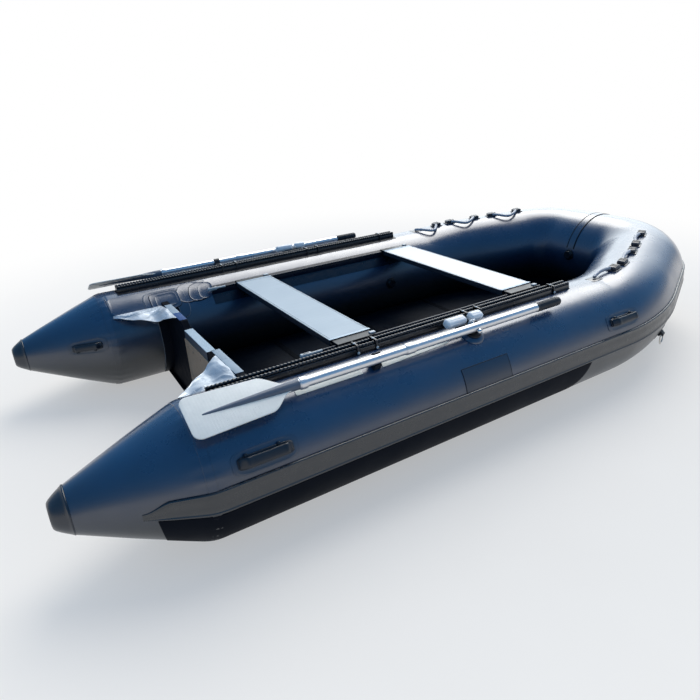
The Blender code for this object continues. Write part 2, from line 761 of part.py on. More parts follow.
def transom():
    """The stern board, cut to the tubes' round and notched at the middle for a motor."""
    reach = RADIUS + SKIN_GAP + HOLDER_THICK + 2 * GAP
    top_deg = 180 - math.degrees(math.asin((TRANSOM_TOP + TRANSOM_EAR - RADIUS) / reach))
    half = [(0, SHEET_LOW + CLEARANCE)]
    side = arc((TUBE_Y, RADIUS), reach, HOLDER_LOW_DEG, top_deg, 19)
    half.append((side[0][0], sheet_z(side[0][0]) + CLEARANCE))
    half += side
    half += [(side[-1][0] - TIP_ROUND, TRANSOM_TOP), (NOTCH_SHOULDER, TRANSOM_TOP), (NOTCH_HALF, NOTCH_TOP)]
    outline = half + [(-y, z) for y, z in half[:0:-1]]
    named(plate(outline, TRANSOM_THICK, upright(TRANSOM_X)), "transom", "transom_paint")


def rounded_outline(half_y, low, high, rounding):
    corners = [((half_y - rounding, high - rounding), 0), ((-half_y + rounding, high - rounding), 90),
               ((-half_y + rounding, low + rounding), 180), ((half_y - rounding, low + rounding), 270)]
    out = []
    for centre, start in corners:
        out += arc(centre, rounding, start, start + 90, 4)
    return out


def motor_pad():
    """The plate on the transom's aft face that an outboard's clamp bears on."""
    top = NOTCH_TOP + GAP - CAP_LEG - CLEARANCE
    shift = (TRANSOM_THICK + PAD_THICK) / 2 + GAP
    outline = rounded_outline(PAD_HALF, PAD_LOW, top, PAD_ROUND)
    named(plate(outline, PAD_THICK, upright(TRANSOM_X - shift)), "motor_pad", "pad_plastic")


def transom_cap():
    inner, low, top = TRANSOM_THICK / 2 + GAP, NOTCH_TOP + GAP - CAP_LEG, NOTCH_TOP + GAP
    outer, high = inner + CAP_WALL, top + CAP_WALL
    outline = [(-outer, low), (-inner, low), (-inner, top), (inner, top), (inner, low), (outer, low),
               (outer, high - CAP_WALL / 2), (outer - CAP_WALL / 2, high), (CAP_WALL / 2 - outer, high),
               (-outer, high - CAP_WALL / 2)]
    outline = [(x + TRANSOM_X, z) for x, z in outline]
    named(plate(outline, 2 * CAP_HALF, sideways(0)), "transom_cap", "cap_metal")


def transom_holders():
    rows = []
    for x in (TRANSOM_X - HOLDER_AFT, TRANSOM_X + HOLDER_FRONT):
        span = HOLDER_LOW_DEG - HOLDER_TOP_DEG
        rows.append([on_tube(x - JOINT_X, HOLDER_TOP_DEG + span * j / 14, SKIN_GAP) for j in range(15)])
    both_sides(sheet(rows, HOLDER_THICK, Vector((0, -1, 0))), "transom_holder", "black_fabric")


def gussets():
    """Creased cloth corners that bridge from each tube to the transom's aft face."""
    front = TRANSOM_X - TRANSOM_THICK / 2 - GAP
    rows = []
    for i in range(13):
        u = i / 12
        x = front - GUSSET_LENGTH * (1 - u)
        edge = on_tube(x - JOINT_X, GUSSET_EDGE_DEG, GUSSET_LIFT)
        wide = GUSSET_TIP + (GUSSET_WIDTH - GUSSET_TIP) * math.sin(min(1.0, u / 0.75) * math.pi / 2)
        row = []
        for j in range(8):
            v = j / 7
            crease = math.sin(math.pi * v) * math.sin(math.pi * 2 * (2.0 * u + 0.7 * v)) * min(1.0, 4 * (1 - u) + 0.3)
            crease += 0.5 * v * math.sin(math.pi * 5 * u)
            row.append((x, edge.y - wide * v, edge.z - GUSSET_DROP * v + GUSSET_FOLD * crease * min(1.0, 3 * v)))
        rows.append(row)
    both_sides(sheet(rows, GUSSET_THICK, Vector((0, 0, 1))), "transom_gusset", "silver_cloth")


def seat_outline(x):
    """A shallow channel with inturned lips and a grooved top."""
    half, low, wall = SEAT_WIDTH / 2, -SEAT_DEPTH, SEAT_WALL
    out = [(half - SEAT_LIP, low), (half, low)]
    out += arc((half - SEAT_ROUND, -SEAT_ROUND), SEAT_ROUND, 0, 90, 4)
    grooves = 7
    for i in range(grooves):
        c = half - SEAT_WIDTH * (i + 1) / (grooves + 1)
        out += [(c + GROOVE_WIDTH / 2, 0), (c + GROOVE_WIDTH / 4, -GROOVE), (c - GROOVE_WIDTH / 4, -GROOVE),
                (c - GROOVE_WIDTH / 2, 0)]
    out += arc((-half + SEAT_ROUND, -SEAT_ROUND), SEAT_ROUND, 90, 180, 4)
    out += [(-half, low), (-half + SEAT_LIP, low), (-half + SEAT_LIP, low + wall), (-half + wall, low + wall),
            (-half + wall, -wall), (half - wall, -wall), (half - wall, low + wall), (half - SEAT_LIP, low + wall)]
    return [(x + u, SEAT_TOP + v) for u, v in out]


def slider_outline():
    """The seat's end piece: a channel that wraps the track's bead and a tongue under the seat."""
    inner = SEAT_LENGTH / 2 + GAP
    top, low = BEAD_Z + SLIDER_HEAD, BEAD_Z - SLIDER_DEPTH
    outer = TRACK_Y + SLIDER_OUTER
    bore, slot = BEAD_RADIUS + CHANNEL_CLEAR, FLAP_HALF + CHANNEL_CLEAR
    half_open = math.degrees(math.asin(slot / bore))
    tongue_top = SEAT_TOP - SEAT_WALL - GAP
    out = [(inner - TONGUE_LENGTH, tongue_top), (inner - TONGUE_LENGTH, tongue_top - TONGUE_THICK),
           (inner, tongue_top - TONGUE_THICK), (inner, low), (TRACK_Y - slot, low)]
    out += arc((TRACK_Y, BEAD_Z), bore, 270 - half_open, half_open - 90, 15)
    out += [(TRACK_Y + slot, low), (outer - SLIDER_CHAMFER, low), (outer, low + SLIDER_CHAMFER), (outer, top),
            (inner, top), (inner, tongue_top)]
    return out


def seats():
    """Two benches, each with a slider at either end."""
    for name, x in (("rear", REAR_SEAT_X), ("front", FRONT_SEAT_X)):
        seat = plate(seat_outline(x), SEAT_LENGTH, sideways(0))
        named(seat, name + "_seat", "seat_aluminium", (x, 0, SEAT_TOP))
        slider = plate(slider_outline(), SLIDER_LENGTH, upright(x))
        both_sides(slider, name + "_slider", "black_plastic", (x, TRACK_Y, BEAD_Z))


def seat_tracks():
    """A glued base strip, a standing flap and the round bead that the sliders run on."""
    low, high = RADIUS + SKIN_GAP, RADIUS + SKIN_GAP + TRACK_BASE_THICK
    base = arc((TUBE_Y, RADIUS), low, TRACK_BASE_LOW_DEG, TRACK_BASE_TOP_DEG, 8)
    flap_deg = 180 - math.degrees(math.acos((TUBE_Y - TRACK_Y) / high))
    step = math.degrees(FLAP_HALF / high)
    before = arc((TUBE_Y, RADIUS), high, TRACK_BASE_TOP_DEG, flap_deg - step, 4)
    after = arc((TUBE_Y, RADIUS), high, flap_deg + step, TRACK_BASE_LOW_DEG, 4)
    half_open = math.degrees(math.asin(FLAP_HALF / BEAD_RADIUS))
    bead = arc((TRACK_Y, BEAD_Z), BEAD_RADIUS, half_open - 90, 270 - half_open, 13)
    before[-1] = (TRACK_Y + FLAP_HALF, before[-1][1])
    after[0] = (TRACK_Y - FLAP_HALF, after[0][1])
    outline = base + before + bead + after
    length = TRACK_AFT + TRACK_FRONT
    both_sides(plate(outline, length, upright((TRACK_FRONT - TRACK_AFT) / 2)), "seat_track", "black_fabric")


def skin_z(y, lift=0.0):
    """Height of the side tube's top at a given Y."""
    reach = RADIUS + SKIN_GAP + lift
    return RADIUS + math.sqrt(reach * reach - (y - TUBE_Y) ** 2)


def rail_outline():
    """A strip that sits on the tube's top and carries two rope beads."""
    out = []
    for i in range(4):
        y = RAIL_Y - RAIL_HALF + 2 * RAIL_HALF * i / 3
        out.append((y, skin_z(y)))
    top = TUBE_DIAMETER
    out += [(RAIL_Y + y, top + z) for y, z in arc((RAIL_BEAD_Y, RAIL_BEAD_Z), RAIL_BEAD, -20, 200, 5)]
    out += [(RAIL_Y + RAIL_GROOVE_HALF, top + RAIL_GROOVE_Z), (RAIL_Y - RAIL_GROOVE_HALF, top + RAIL_GROOVE_Z)]
    out += [(RAIL_Y + y, top + z) for y, z in arc((-RAIL_BEAD_Y, RAIL_BEAD_Z), RAIL_BEAD, -20, 200, 5)]
    return out


def gunwale_rails():
    """The rail with the straps that hold it down to the tube."""
    length = RAIL_AFT + RAIL_FRONT
    rail = plate(rail_outline(), length, upright((RAIL_FRONT - RAIL_AFT) / 2))
    straps = gather([plate(strap_outline(), CLIP_WIDTH, upright(x)) for x in CLIP_XS])
    both_sides(combine(rail, straps, "UNION"), "gunwale_rail", "black_plastic")


def strap_outline():
    """A narrow strap bent over the rail, down to the tube on both sides."""
    shoulder, top = RAIL_BEAD_Y + RAIL_BEAD + CLIP_WALL, TUBE_DIAMETER + RAIL_BEAD_Z + RAIL_BEAD + CLIP_WALL
    base = RAIL_HALF + CLIP_WALL * 2
    corner = RAIL_BEAD * 0.6
    right = [(base, skin_z(RAIL_Y + base)), (shoulder, TUBE_DIAMETER + RAIL_BEAD_Z), (shoulder, top - corner),
             (shoulder - corner, top)]
    left = [(-base, skin_z(RAIL_Y - base))] + [(-y, z) for y, z in right[1:]]
    under = []
    for i in range(1, 3):
        y = -base + 2 * base * i / 3
        under.append((RAIL_Y + y, skin_z(RAIL_Y + y)))
    return [(RAIL_Y + y, z) for y, z in right + left[::-1]] + under


def oar_frame():
    """The stowed oar's frame: origin where the pin crosses the shaft, X along the shaft."""
    return seat_frame(PIVOT_X - JOINT_X, OAR_ANGLE_DEG, OAR_LIFT)


def oar_pivot():
    return oar_frame().translation


def placed_rod(points, radius, where, radii=None, sides=12, cyclic=False):
    return rod([where @ Vector(p) for p in points], radius, radii, sides, cyclic)


def pin_cross(radius, low, high, where):
    """A cutter along the pin."""
    return placed_rod([(0, low, 0), (0, high, 0)], radius, where, sides=12)


def oar_blades():
    """A flat blade with round corners and a tapered spine that ends in the shaft's socket."""
    where = oar_frame()
    tip, neck = -BLADE_REACH, BLADE_LENGTH - BLADE_REACH
    shoulder = neck - BLADE_STRAIGHT
    half = [(neck, SHAFT_RADIUS)]
    for i in range(1, 7):
        f = i / 6
        wide = SHAFT_RADIUS + (BLADE_HALF * 0.88 - SHAFT_RADIUS) * (1 - math.cos(math.pi * f)) / 2
        half.append((neck + (shoulder - neck) * f, wide))
    half += arc((tip + BLADE_ROUND, BLADE_HALF - BLADE_ROUND), BLADE_ROUND, 90, 180, 6)
    outline = half + [(x, -y) for x, y in half[::-1]]
    flat = plate(outline, BLADE_THICK, where)
    end = neck + NECK_LENGTH
    spine = placed_rod([(neck - SPINE_LENGTH, 0, 0), (neck - SPINE_LENGTH * 0.5, 0, 0), (neck, 0, 0), (end, 0, 0)],
                       SHAFT_RADIUS, where, [SPINE_TIP, SHAFT_RADIUS * 0.62, SHAFT_RADIUS, SHAFT_RADIUS], sides=12)
    both_sides(combine(flat, spine, "UNION"), "oar_blade", "blade_plastic", oar_pivot())


def oar_shafts():
    """The shaft with its pin hole, the blade collar and the coupling of its two halves."""
    where = oar_frame()
    start = BLADE_LENGTH - BLADE_REACH + NECK_LENGTH + GAP
    end = HANDLE_REACH - GRIP_LENGTH - GAP
    shaft = placed_rod([(start, 0, 0), (end, 0, 0)], SHAFT_RADIUS, where, sides=14)
    for x, length in ((start + COLLAR_WALL, COLLAR_LENGTH), (-COUPLING_REACH, COUPLING_LENGTH)):
        collar = placed_rod([(x, 0, 0), (x + length, 0, 0)], SHAFT_RADIUS + COLLAR_WALL, where, sides=14)
        shaft = combine(shaft, collar, "UNION")
    shaft = combine(shaft, pin_cross(PIN_RADIUS + PIN_CLEAR, -2 * SHAFT_RADIUS, 2 * SHAFT_RADIUS, where), "DIFFERENCE")
    both_sides(shaft, "oar_shaft", "shaft_aluminium", oar_pivot())


def oar_grips():
    where = oar_frame() @ Matrix.Rotation(math.pi / 2, 4, "Y")
    start, end = HANDLE_REACH - GRIP_LENGTH, HANDLE_REACH
    shell = [(0, start), (GRIP_RADIUS, start)]
    count = int((GRIP_LENGTH - GRIP_RADIUS) / GRIP_RIB_PITCH)
    for i in range(1, count):
        at = start + i * GRIP_RIB_PITCH
        shell += [(GRIP_RADIUS, at - GRIP_RIB_PITCH / 3), (GRIP_RADIUS - GRIP_RIB, at)]
    shell += [(GRIP_RADIUS, end - GRIP_RADIUS / 2), (GRIP_RADIUS * 0.75, end - GRIP_RIB), (GRIP_RADIUS * 0.5, end),
              (0, end)]
    both_sides(turned(shell, where, 12), "oar_grip", "black_plastic", oar_pivot())


def head_levels():
    """Heights of the oarlock's stack, measured from the shaft's axis."""
    skin = -OAR_LIFT
    pad_top = skin + PAD_HEIGHT
    plate_low = pad_top + HEAD_GAP
    plate_top = plate_low + HEAD_PLATE
    rivet_low = plate_top + HEAD_GAP
    return skin, pad_top, plate_low, plate_top, rivet_low


def tube_cutter(where, lift):
    """The tube's own round, in a fitting's frame, to seat the fitting on the skin."""
    reach = 4 * PAD_RADIUS
    return placed_rod([(-reach, 0, -RADIUS - lift), (reach, 0, -RADIUS - lift)], RADIUS + SKIN_GAP, where, sides=48)


def oarlock_bases():
    """A round pad moulded to the tube with the stud that the head turns on."""
    where = oar_frame()
    skin, pad_top, plate_low, plate_top, rivet_low = head_levels()
    high = rivet_low + STUD_HEAD_HEIGHT
    shell = [(0, high), (STUD_HEAD_RADIUS * 0.7, high), (STUD_HEAD_RADIUS, high - STUD_HEAD_HEIGHT / 2),
             (STUD_HEAD_RADIUS, rivet_low), (STUD_RADIUS, rivet_low), (STUD_RADIUS, pad_top),
             (HEAD_RADIUS, pad_top), (PAD_RADIUS, skin + PAD_HEIGHT / 3), (PAD_RADIUS, skin - PAD_HEIGHT),
             (0, skin - PAD_HEIGHT)]
    pad = combine(turned(shell, where, 18), tube_cutter(where, OAR_LIFT), "DIFFERENCE")
    both_sides(pad, "oarlock_base", "black_plastic")


def oarlock_heads():
    """The turning head: a plate on the stud, an ear for the pin and two round knuckles."""
    here = Matrix()
    skin, pad_top, plate_low, plate_top, rivet_low = head_levels()
    disc = turned([(0, plate_top), (HEAD_RADIUS, plate_top), (HEAD_RADIUS, plate_low), (0, plate_low)], here, 20)
    overlap = HEAD_PLATE / 3
    low, high = plate_top - overlap, plate_top + HEAD_PLATE
    arm = block((ARM_SPAN[0], -ARM_OUTER, low), (ARM_SPAN[1], -ARM_INNER, high), here)
    ear_outer = -SHAFT_RADIUS - EAR_GAP
    ear = block((-EAR_HALF, ear_outer - EAR_THICK, low), (EAR_HALF, ear_outer, EAR_TOP), here)
    head = combine(disc, arm, "UNION")
    head = combine(head, ear, "UNION")
    for start, end in (AFT_KNUCKLE, FORE_KNUCKLE):
        knuckle = block((start, -KNUCKLE_OUTER, high - overlap), (end, -KNUCKLE_INNER, KNUCKLE_TOP), here,
                        KNUCKLE_ROUND, 2)
        head = combine(head, knuckle, "UNION")
    bore = turned([(0, high), (STUD_RADIUS + HEAD_GAP, high), (STUD_RADIUS + HEAD_GAP, skin), (0, skin)], here, 20)
    head = combine(head, bore, "DIFFERENCE")
    reach = ear_outer - 2 * EAR_THICK
    head = combine(head, pin_cross(PIN_RADIUS + PIN_CLEAR, reach, ear_outer + OVERRUN / 2, here), "DIFFERENCE")
    relief = turned([(0, high + OVERRUN), (STUD_HEAD_RADIUS + CLEARANCE, high + OVERRUN),
                     (STUD_HEAD_RADIUS + CLEARANCE, plate_top), (0, plate_top)], here, 20)
    head = combine(head, relief, "DIFFERENCE")
    head.data.transform(oar_frame())
    both_sides(head, "oarlock_head", "grey_plastic", oar_pivot())


def oarlock_pins():
    """The cross pin: a head behind the ear, a bush before the shaft and the knob outside."""
    where = oar_frame() @ Matrix.Rotation(-math.pi / 2, 4, "X")
    ear_in = -SHAFT_RADIUS - EAR_GAP
    back = ear_in - EAR_THICK - GAP
    face = -SHAFT_RADIUS - GAP
    out = SHAFT_RADIUS + GAP
    shell = [(0, back - PIN_HEAD_THICK), (PIN_HEAD_RADIUS, back - PIN_HEAD_THICK), (PIN_HEAD_RADIUS, back),
             (PIN_RADIUS, back), (PIN_RADIUS, ear_in + GAP), (BUSH_RADIUS, ear_in + GAP), (BUSH_RADIUS, face),
             (PIN_RADIUS, face), (PIN_RADIUS, out), (KNOB_RADIUS, out), (KNOB_RADIUS, out + KNOB_THICK * 0.6),
             (KNOB_RADIUS * 0.6, out + KNOB_THICK), (0, out + KNOB_THICK)]
    both_sides(turned(shell, where, 12), "oarlock_pin", "steel", oar_pivot())


def oar_cradles():
    """A saddle under the shaft with a hook on its inboard side; the shaft leaves outwards."""
    where = seat_frame(CRADLE_X - JOINT_X, OAR_ANGLE_DEG, OAR_LIFT)
    inner = SHAFT_RADIUS + CRADLE_CLEAR
    outer = inner + CRADLE_WALL
    reach = RADIUS + SKIN_GAP
    outline = []
    for i in range(6):
        y = -CRADLE_IN + (CRADLE_OUT + CRADLE_IN) * i / 5
        outline.append((y, math.sqrt(reach * reach - y * y) - RADIUS - OAR_LIFT))
    outline += [(CRADLE_OUT, -inner - CRADLE_CLEAR)]
    outline += arc((0, 0), inner, 265, HOOK_END_DEG, 10)
    outline += arc((0, 0), outer, HOOK_END_DEG, 200, 6)
    outline += [(-CRADLE_IN, -inner)]
    turn = Matrix(((0, 0, 1, 0), (1, 0, 0, 0), (0, 1, 0, 0), (0, 0, 0, 1)))
    both_sides(plate(outline, CRADLE_WIDTH, where @ turn), "oar_cradle", "black_plastic")


def grab_loops():
    """Rope loops along the bow's top, each with its ends in two moulded blocks."""
    for place, x, clear in zip(("aft", "middle", "fore"), LOOP_XS, LOOP_LIFTS):
        s = run_at(x)
        points = []
        for i in range(9):
            f = i / 8
            bow = math.sin(math.pi * f)
            lift = LOOP_BLOCK[2] * 0.55 + LOOP_RISE * bow ** 0.8
            points.append(on_tube(s - LOOP_HALF + 2 * LOOP_HALF * f, 90 + LOOP_SIDE_DEG * bow, lift))
        loop = rod(points, LOOP_ROPE, sides=6)
        for at in (s - LOOP_HALF, s + LOOP_HALF):
            where = seat_frame(at, 90, clear)
            end = block((-LOOP_BLOCK[0] / 2, -LOOP_BLOCK[1] / 2, 0), (LOOP_BLOCK[0] / 2, LOOP_BLOCK[1] / 2, LOOP_BLOCK[2]),
                        where)
            loop = combine(loop, end, "UNION")
        both_sides(loop, "grab_loop_" + place, "loop_rope")


def lifting_handle(s, angle_deg, half, patch):
    """A moulded bar on two feet, on its glued oval patch."""
    where = seat_frame(s, angle_deg, SKIN_GAP + PATCH_THICK / 2)
    high = HANDLE_HEIGHT - HANDLE_BAR
    foot = HANDLE_FOOT[2]
    bend_shares = [(1, 0), (0.93, 0.75), (0.7, 1)]
    points = [(-half * a, 0, max(foot / 2, high * b)) for a, b in bend_shares]
    points += [(-x, y, z) for x, y, z in points[::-1]]
    handle = placed_rod(points, HANDLE_BAR, where, sides=8)
    for side in (-1, 1):
        low = (side * half - HANDLE_FOOT[0] / 2, -HANDLE_FOOT[1] / 2, 0)
        top = (side * half + HANDLE_FOOT[0] / 2, HANDLE_FOOT[1] / 2, foot)
        handle = combine(handle, block(low, top, where), "UNION")
    return combine(handle, skin_patch(s, angle_deg, *patch), "UNION")


def lifting_handles():
    oval, small = (PATCH_HALF, PATCH_TALL_HALF), (CONE_PATCH_HALF, CONE_PATCH_TALL_HALF)
    stern = lifting_handle(STERN_HANDLE_X - JOINT_X, HANDLE_DEG, HANDLE_HALF, oval)
    both_sides(stern, "stern_handle", "black_plastic")
    bow = lifting_handle(run_at(BOW_HANDLE_X), HANDLE_DEG, HANDLE_HALF, oval)
    both_sides(bow, "bow_handle", "black_plastic")
    cone = lifting_handle(CONE_HANDLE_X - JOINT_X, CONE_HANDLE_DEG, CONE_HANDLE_HALF, small)
    both_sides(cone, "cone_handle", "black_plastic")


def skin_patch(s, angle_deg, half, tall_half):
    """A thin patch glued to the skin, its outline a squarish oval."""
    rows = []
    span = math.degrees(tall_half / station(s)[3])
    for j in range(5):
        v = math.sin(math.pi / 2 * (j / 2 - 1)) * OVAL_TRIM_SHARE
        wide = half * (1 - abs(v) ** OVAL_POWER_SHARE) ** (1 / OVAL_POWER_SHARE)
        rows.append([on_tube(s + wide * (i / 2 - 1), angle_deg + span * v, SKIN_GAP) for i in range(5)])
    out = seat_frame(s, angle_deg).col[2].to_3d()
    return sheet(rows, PATCH_THICK, out)


def ring_frame():
    """Origin on the towing ring's bar, X along the bar."""
    return seat_frame(run_at(RING_X, RING_DEG), RING_DEG, SKIN_GAP + PATCH_THICK / 2 + SLEEVE_LIFT)


def tow_tabs():
    """The moulded tab on its patch, with the bore that the ring's bar turns in."""
    where = ring_frame()
    half = SLEEVE_LENGTH / 2
    tab = placed_rod([(-half, 0, 0), (half, 0, 0)], SLEEVE_RADIUS, where, sides=12)
    foot = block((-half * 1.3, -SLEEVE_RADIUS * 1.4, -SLEEVE_LIFT), (half * 1.3, SLEEVE_RADIUS * 1.4, -SLEEVE_RADIUS * 0.5),
                 where)
    tab = combine(tab, foot, "UNION")
    tab = combine(tab, skin_patch(run_at(RING_X, RING_DEG), RING_DEG, TAB_HALF, TAB_TALL_HALF), "UNION")
    bore = placed_rod([(-half - OVERRUN, 0, 0), (half + OVERRUN, 0, 0)], RING_WIRE + GAP, where, sides=12)
    both_sides(combine(tab, bore, "DIFFERENCE"), "tow_tab", "black_plastic")


def tow_rings():
    """A D of steel wire that hangs from its straight bar."""
    where = ring_frame()
    origin = where.translation
    fore = where.col[0].to_3d()
    down = Vector((0, 0, -1))
    down = (down - fore * down.dot(fore)).normalized()
    points = [origin + fore * u for u in (-RING_HALF * 0.9, RING_HALF * 0.9)]
    bend = RING_DROP - RING_HALF
    points.append(origin + fore * RING_HALF + down * (RING_HALF * 0.1))
    for i in range(8):
        a = math.pi * i / 7
        points.append(origin + fore * (RING_HALF * math.cos(a)) + down * (bend + RING_HALF * math.sin(a)))
    points.append(origin - fore * RING_HALF + down * (RING_HALF * 0.1))
    both_sides(rod(points, RING_WIRE, sides=8, cyclic=True), "tow_ring", "ring_steel", origin)


def valve(where):
    high = VALVE_FLANGE_HEIGHT + VALVE_CAP_HEIGHT
    shell = [(0, high), (VALVE_CAP * 0.9, high), (VALVE_CAP, high - VALVE_FLANGE_HEIGHT / 2),
             (VALVE_CAP, VALVE_FLANGE_HEIGHT), (VALVE_FLANGE, VALVE_FLANGE_HEIGHT), (VALVE_FLANGE, -VALVE_SKIRT),
             (0, -VALVE_SKIRT)]
    return combine(turned(shell, where, 16), tube_cutter(where, 0), "DIFFERENCE")


def valves():
    """An inflation valve with its cap inside each side tube and one inside the nose."""
    both_sides(valve(seat_frame(VALVE_X - JOINT_X, VALVE_DEG)), "valve", "black_plastic")
    bow = valve(seat_frame(BOW_RUN + BAND_OFFSET, VALVE_DEG))
    bow.data.transform(Matrix.Diagonal((1, -1, 1, 1)))
    bow.data.flip_normals()
    named(bow, "bow_valve", "black_plastic")


def build():
    side_tubes()
    bow_tube()
    nose_band()
    strake()
    hull_bottom()
    keel_tube()
    floor_boards()
    floor_stringers()
    transom()
    motor_pad()
    transom_cap()
    transom_holders()
    gussets()
    seats()
    seat_tracks()
    gunwale_rails()
    oar_blades()
    oar_shafts()
    oar_grips()
    oarlock_bases()
    oarlock_heads()
    oarlock_pins()
    oar_cradles()
    grab_loops()
    lifting_handles()
    tow_tabs()
    tow_rings()
    valves()


build()
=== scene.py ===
"""Looks of the inflatable boat: fine skins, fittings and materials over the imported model, with its light and camera.

Metres, +X to the bow, +Y to port, +Z up. The sizes repeat those of the model's source, because nothing but
the frame is read here. Port fittings are made once and mirrored to starboard. A place on the tubes is a run s
along the centre line, 0 where the bow's bend starts at JOINT_X and less aft of it, and an angle round the tube.
"""
from math import atan2, cos, degrees, exp, hypot, pi, radians, sin, sqrt, tan

import bmesh
import bpy
from mathutils import Matrix, Vector, noise


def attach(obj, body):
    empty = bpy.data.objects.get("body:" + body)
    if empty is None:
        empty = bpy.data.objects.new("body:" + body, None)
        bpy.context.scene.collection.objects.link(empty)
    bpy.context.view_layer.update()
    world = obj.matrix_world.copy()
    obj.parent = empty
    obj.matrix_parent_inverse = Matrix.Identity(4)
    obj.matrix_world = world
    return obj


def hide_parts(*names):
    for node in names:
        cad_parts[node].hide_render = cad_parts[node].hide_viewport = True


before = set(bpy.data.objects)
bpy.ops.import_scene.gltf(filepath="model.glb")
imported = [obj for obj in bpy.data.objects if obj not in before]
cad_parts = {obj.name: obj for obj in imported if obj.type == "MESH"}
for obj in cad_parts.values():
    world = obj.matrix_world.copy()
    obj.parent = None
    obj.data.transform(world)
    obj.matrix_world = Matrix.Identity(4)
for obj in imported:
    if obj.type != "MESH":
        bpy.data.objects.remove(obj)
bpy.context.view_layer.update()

# Hull sizes
LENGTH, RADIUS, TUBE_Y = 3.348, 0.2225, 0.6375
SKIN = 0.0007
NOSE_X = LENGTH / 2 - 0.008 - SKIN - RADIUS
STERN_X = -LENGTH / 2
CONE_X, CAP_X = STERN_X + 0.396, STERN_X + 0.050
CAP_RADIUS, CONE_LIFT, CONE_BULGE = 0.072, 0.018, 0.0025
SHOULDER_LENGTH, SHOULDER_HALF = 0.645, 0.335
KNUCKLE_RADIUS, NOSE_RADIUS = 0.900, 0.300
BOW_RISE, RISE_POWER = 0.075, 1.2
KNUCKLE_TURN = atan2(TUBE_Y - SHOULDER_HALF, SHOULDER_LENGTH)
NOSE_TURN = pi / 2 - KNUCKLE_TURN
KNUCKLE_CUT = KNUCKLE_RADIUS * tan(KNUCKLE_TURN / 2)
NOSE_CUT = NOSE_RADIUS * tan(NOSE_TURN / 2)
JOINT_X = NOSE_X - SHOULDER_LENGTH - KNUCKLE_CUT
RUN_KNUCKLE = KNUCKLE_RADIUS * KNUCKLE_TURN
RUN_SHOULDER = hypot(SHOULDER_LENGTH, TUBE_Y - SHOULDER_HALF) - KNUCKLE_CUT - NOSE_CUT
RUN_NOSE = NOSE_RADIUS * NOSE_TURN
BOW_RUN = RUN_KNUCKLE + RUN_SHOULDER + RUN_NOSE + SHOULDER_HALF - NOSE_CUT

# Fittings
TRACK_Y, BEAD_Z, BEAD_RADIUS = 0.480, 0.410, 0.005
RAIL_Y, RAIL_AFT, RAIL_FRONT = 0.6315, -1.190, 0.405
OAR_DEG, OAR_LIFT, PIVOT_X, SHAFT = 65.0, 0.040, -0.223, 0.0165
BLADE_TIP, BLADE_LENGTH, BLADE_HALF = -1.069, 0.317, 0.076
TRANSOM_X, TRANSOM_THICK = -1.014, 0.032
FLOOR_Z, BOARD_THICK = 0.0557, 0.012
SEAT_TOP = 0.424

# Fineness of the meshes, and the skin's unevenness
WELD, SHARP, NODE_SHARP = 0.00002, radians(30), radians(32)
UNEVEN, UNEVEN_SCALE = 0.0006, 7.0
PUCKER_REACH, PUCKER_SPREAD, PUCKER_HEIGHT, PUCKER_SINK, PUCKERS = 0.14, 0.045, 0.0011, 0.0008, 34


def smooth_step(a, b, x):
    t = min(1.0, max(0.0, (x - a) / (b - a)))
    return t * t * (3 - 2 * t)


def wobble(x, y, z, scale, seed=0.0):
    """Smooth noise from -1 to 1, the same in each run."""
    return noise.noise(Vector((x * scale + seed, y * scale, z * scale)))


def station(s):
    """Tube centre, turn, slope and radius at a run s from the bend, aft of it if negative."""
    if s <= 0:
        x = JOINT_X + s
        reach, soft = CONE_X - CAP_X, 0.03
        t = CONE_X - x
        share = 0.0 if t < -soft else (t if t > soft else (t + soft) ** 2 / (4 * soft)) / reach
        bulge = CONE_BULGE * sin(pi * min(1.0, share)) if share > 0 else 0.0
        centre = Vector((x, TUBE_Y, RADIUS + CONE_LIFT * share))
        slope = -CONE_LIFT / reach / 2 if share > 0 else 0.0
        return centre, 0.0, slope, RADIUS + (CAP_RADIUS - RADIUS) * share + bulge
    if s < RUN_KNUCKLE:
        turn = s / KNUCKLE_RADIUS
        x = JOINT_X + KNUCKLE_RADIUS * sin(turn)
        y = TUBE_Y - KNUCKLE_RADIUS * (1 - cos(turn))
    elif s < RUN_KNUCKLE + RUN_SHOULDER:
        turn, on = KNUCKLE_TURN, KNUCKLE_CUT + s - RUN_KNUCKLE
        x = NOSE_X - SHOULDER_LENGTH + on * cos(turn)
        y = TUBE_Y - on * sin(turn)
    elif s < RUN_KNUCKLE + RUN_SHOULDER + RUN_NOSE:
        turn = KNUCKLE_TURN + (s - RUN_KNUCKLE - RUN_SHOULDER) / NOSE_RADIUS
        x = NOSE_X - NOSE_RADIUS + NOSE_RADIUS * sin(turn)
        y = BOW_RUN - RUN_KNUCKLE - RUN_SHOULDER - RUN_NOSE + NOSE_RADIUS * cos(turn)
    else:
        turn, x, y = pi / 2, NOSE_X, BOW_RUN - s
    share = max(0.0, (x - JOINT_X) / (NOSE_X - JOINT_X))
    slope = BOW_RISE * RISE_POWER * share ** (RISE_POWER - 1) / (NOSE_X - JOINT_X) * cos(turn)
    return Vector((x, y, RADIUS + BOW_RISE * share ** RISE_POWER)), turn, slope, RADIUS


def on_tube(s, deg, lift=0.0):
    """A point over the port tube's skin: 0 degrees is outboard, 90 the top, 180 inboard."""
    centre, turn, slope, radius = station(s)
    along = Vector((cos(turn), -sin(turn), slope)).normalized()
    out = Vector((-along.y, along.x, 0)).normalized()
    a = radians(deg)
    return centre + (radius + lift) * (cos(a) * out + sin(a) * along.cross(out))


def run_at(x, deg=90.0):
    """The run whose skin at an angle has this x."""
    low, high = STERN_X - JOINT_X, BOW_RUN
    for _ in range(50):
        middle = (low + high) / 2
        low, high = (middle, high) if on_tube(middle, deg).x < x else (low, middle)
    return low


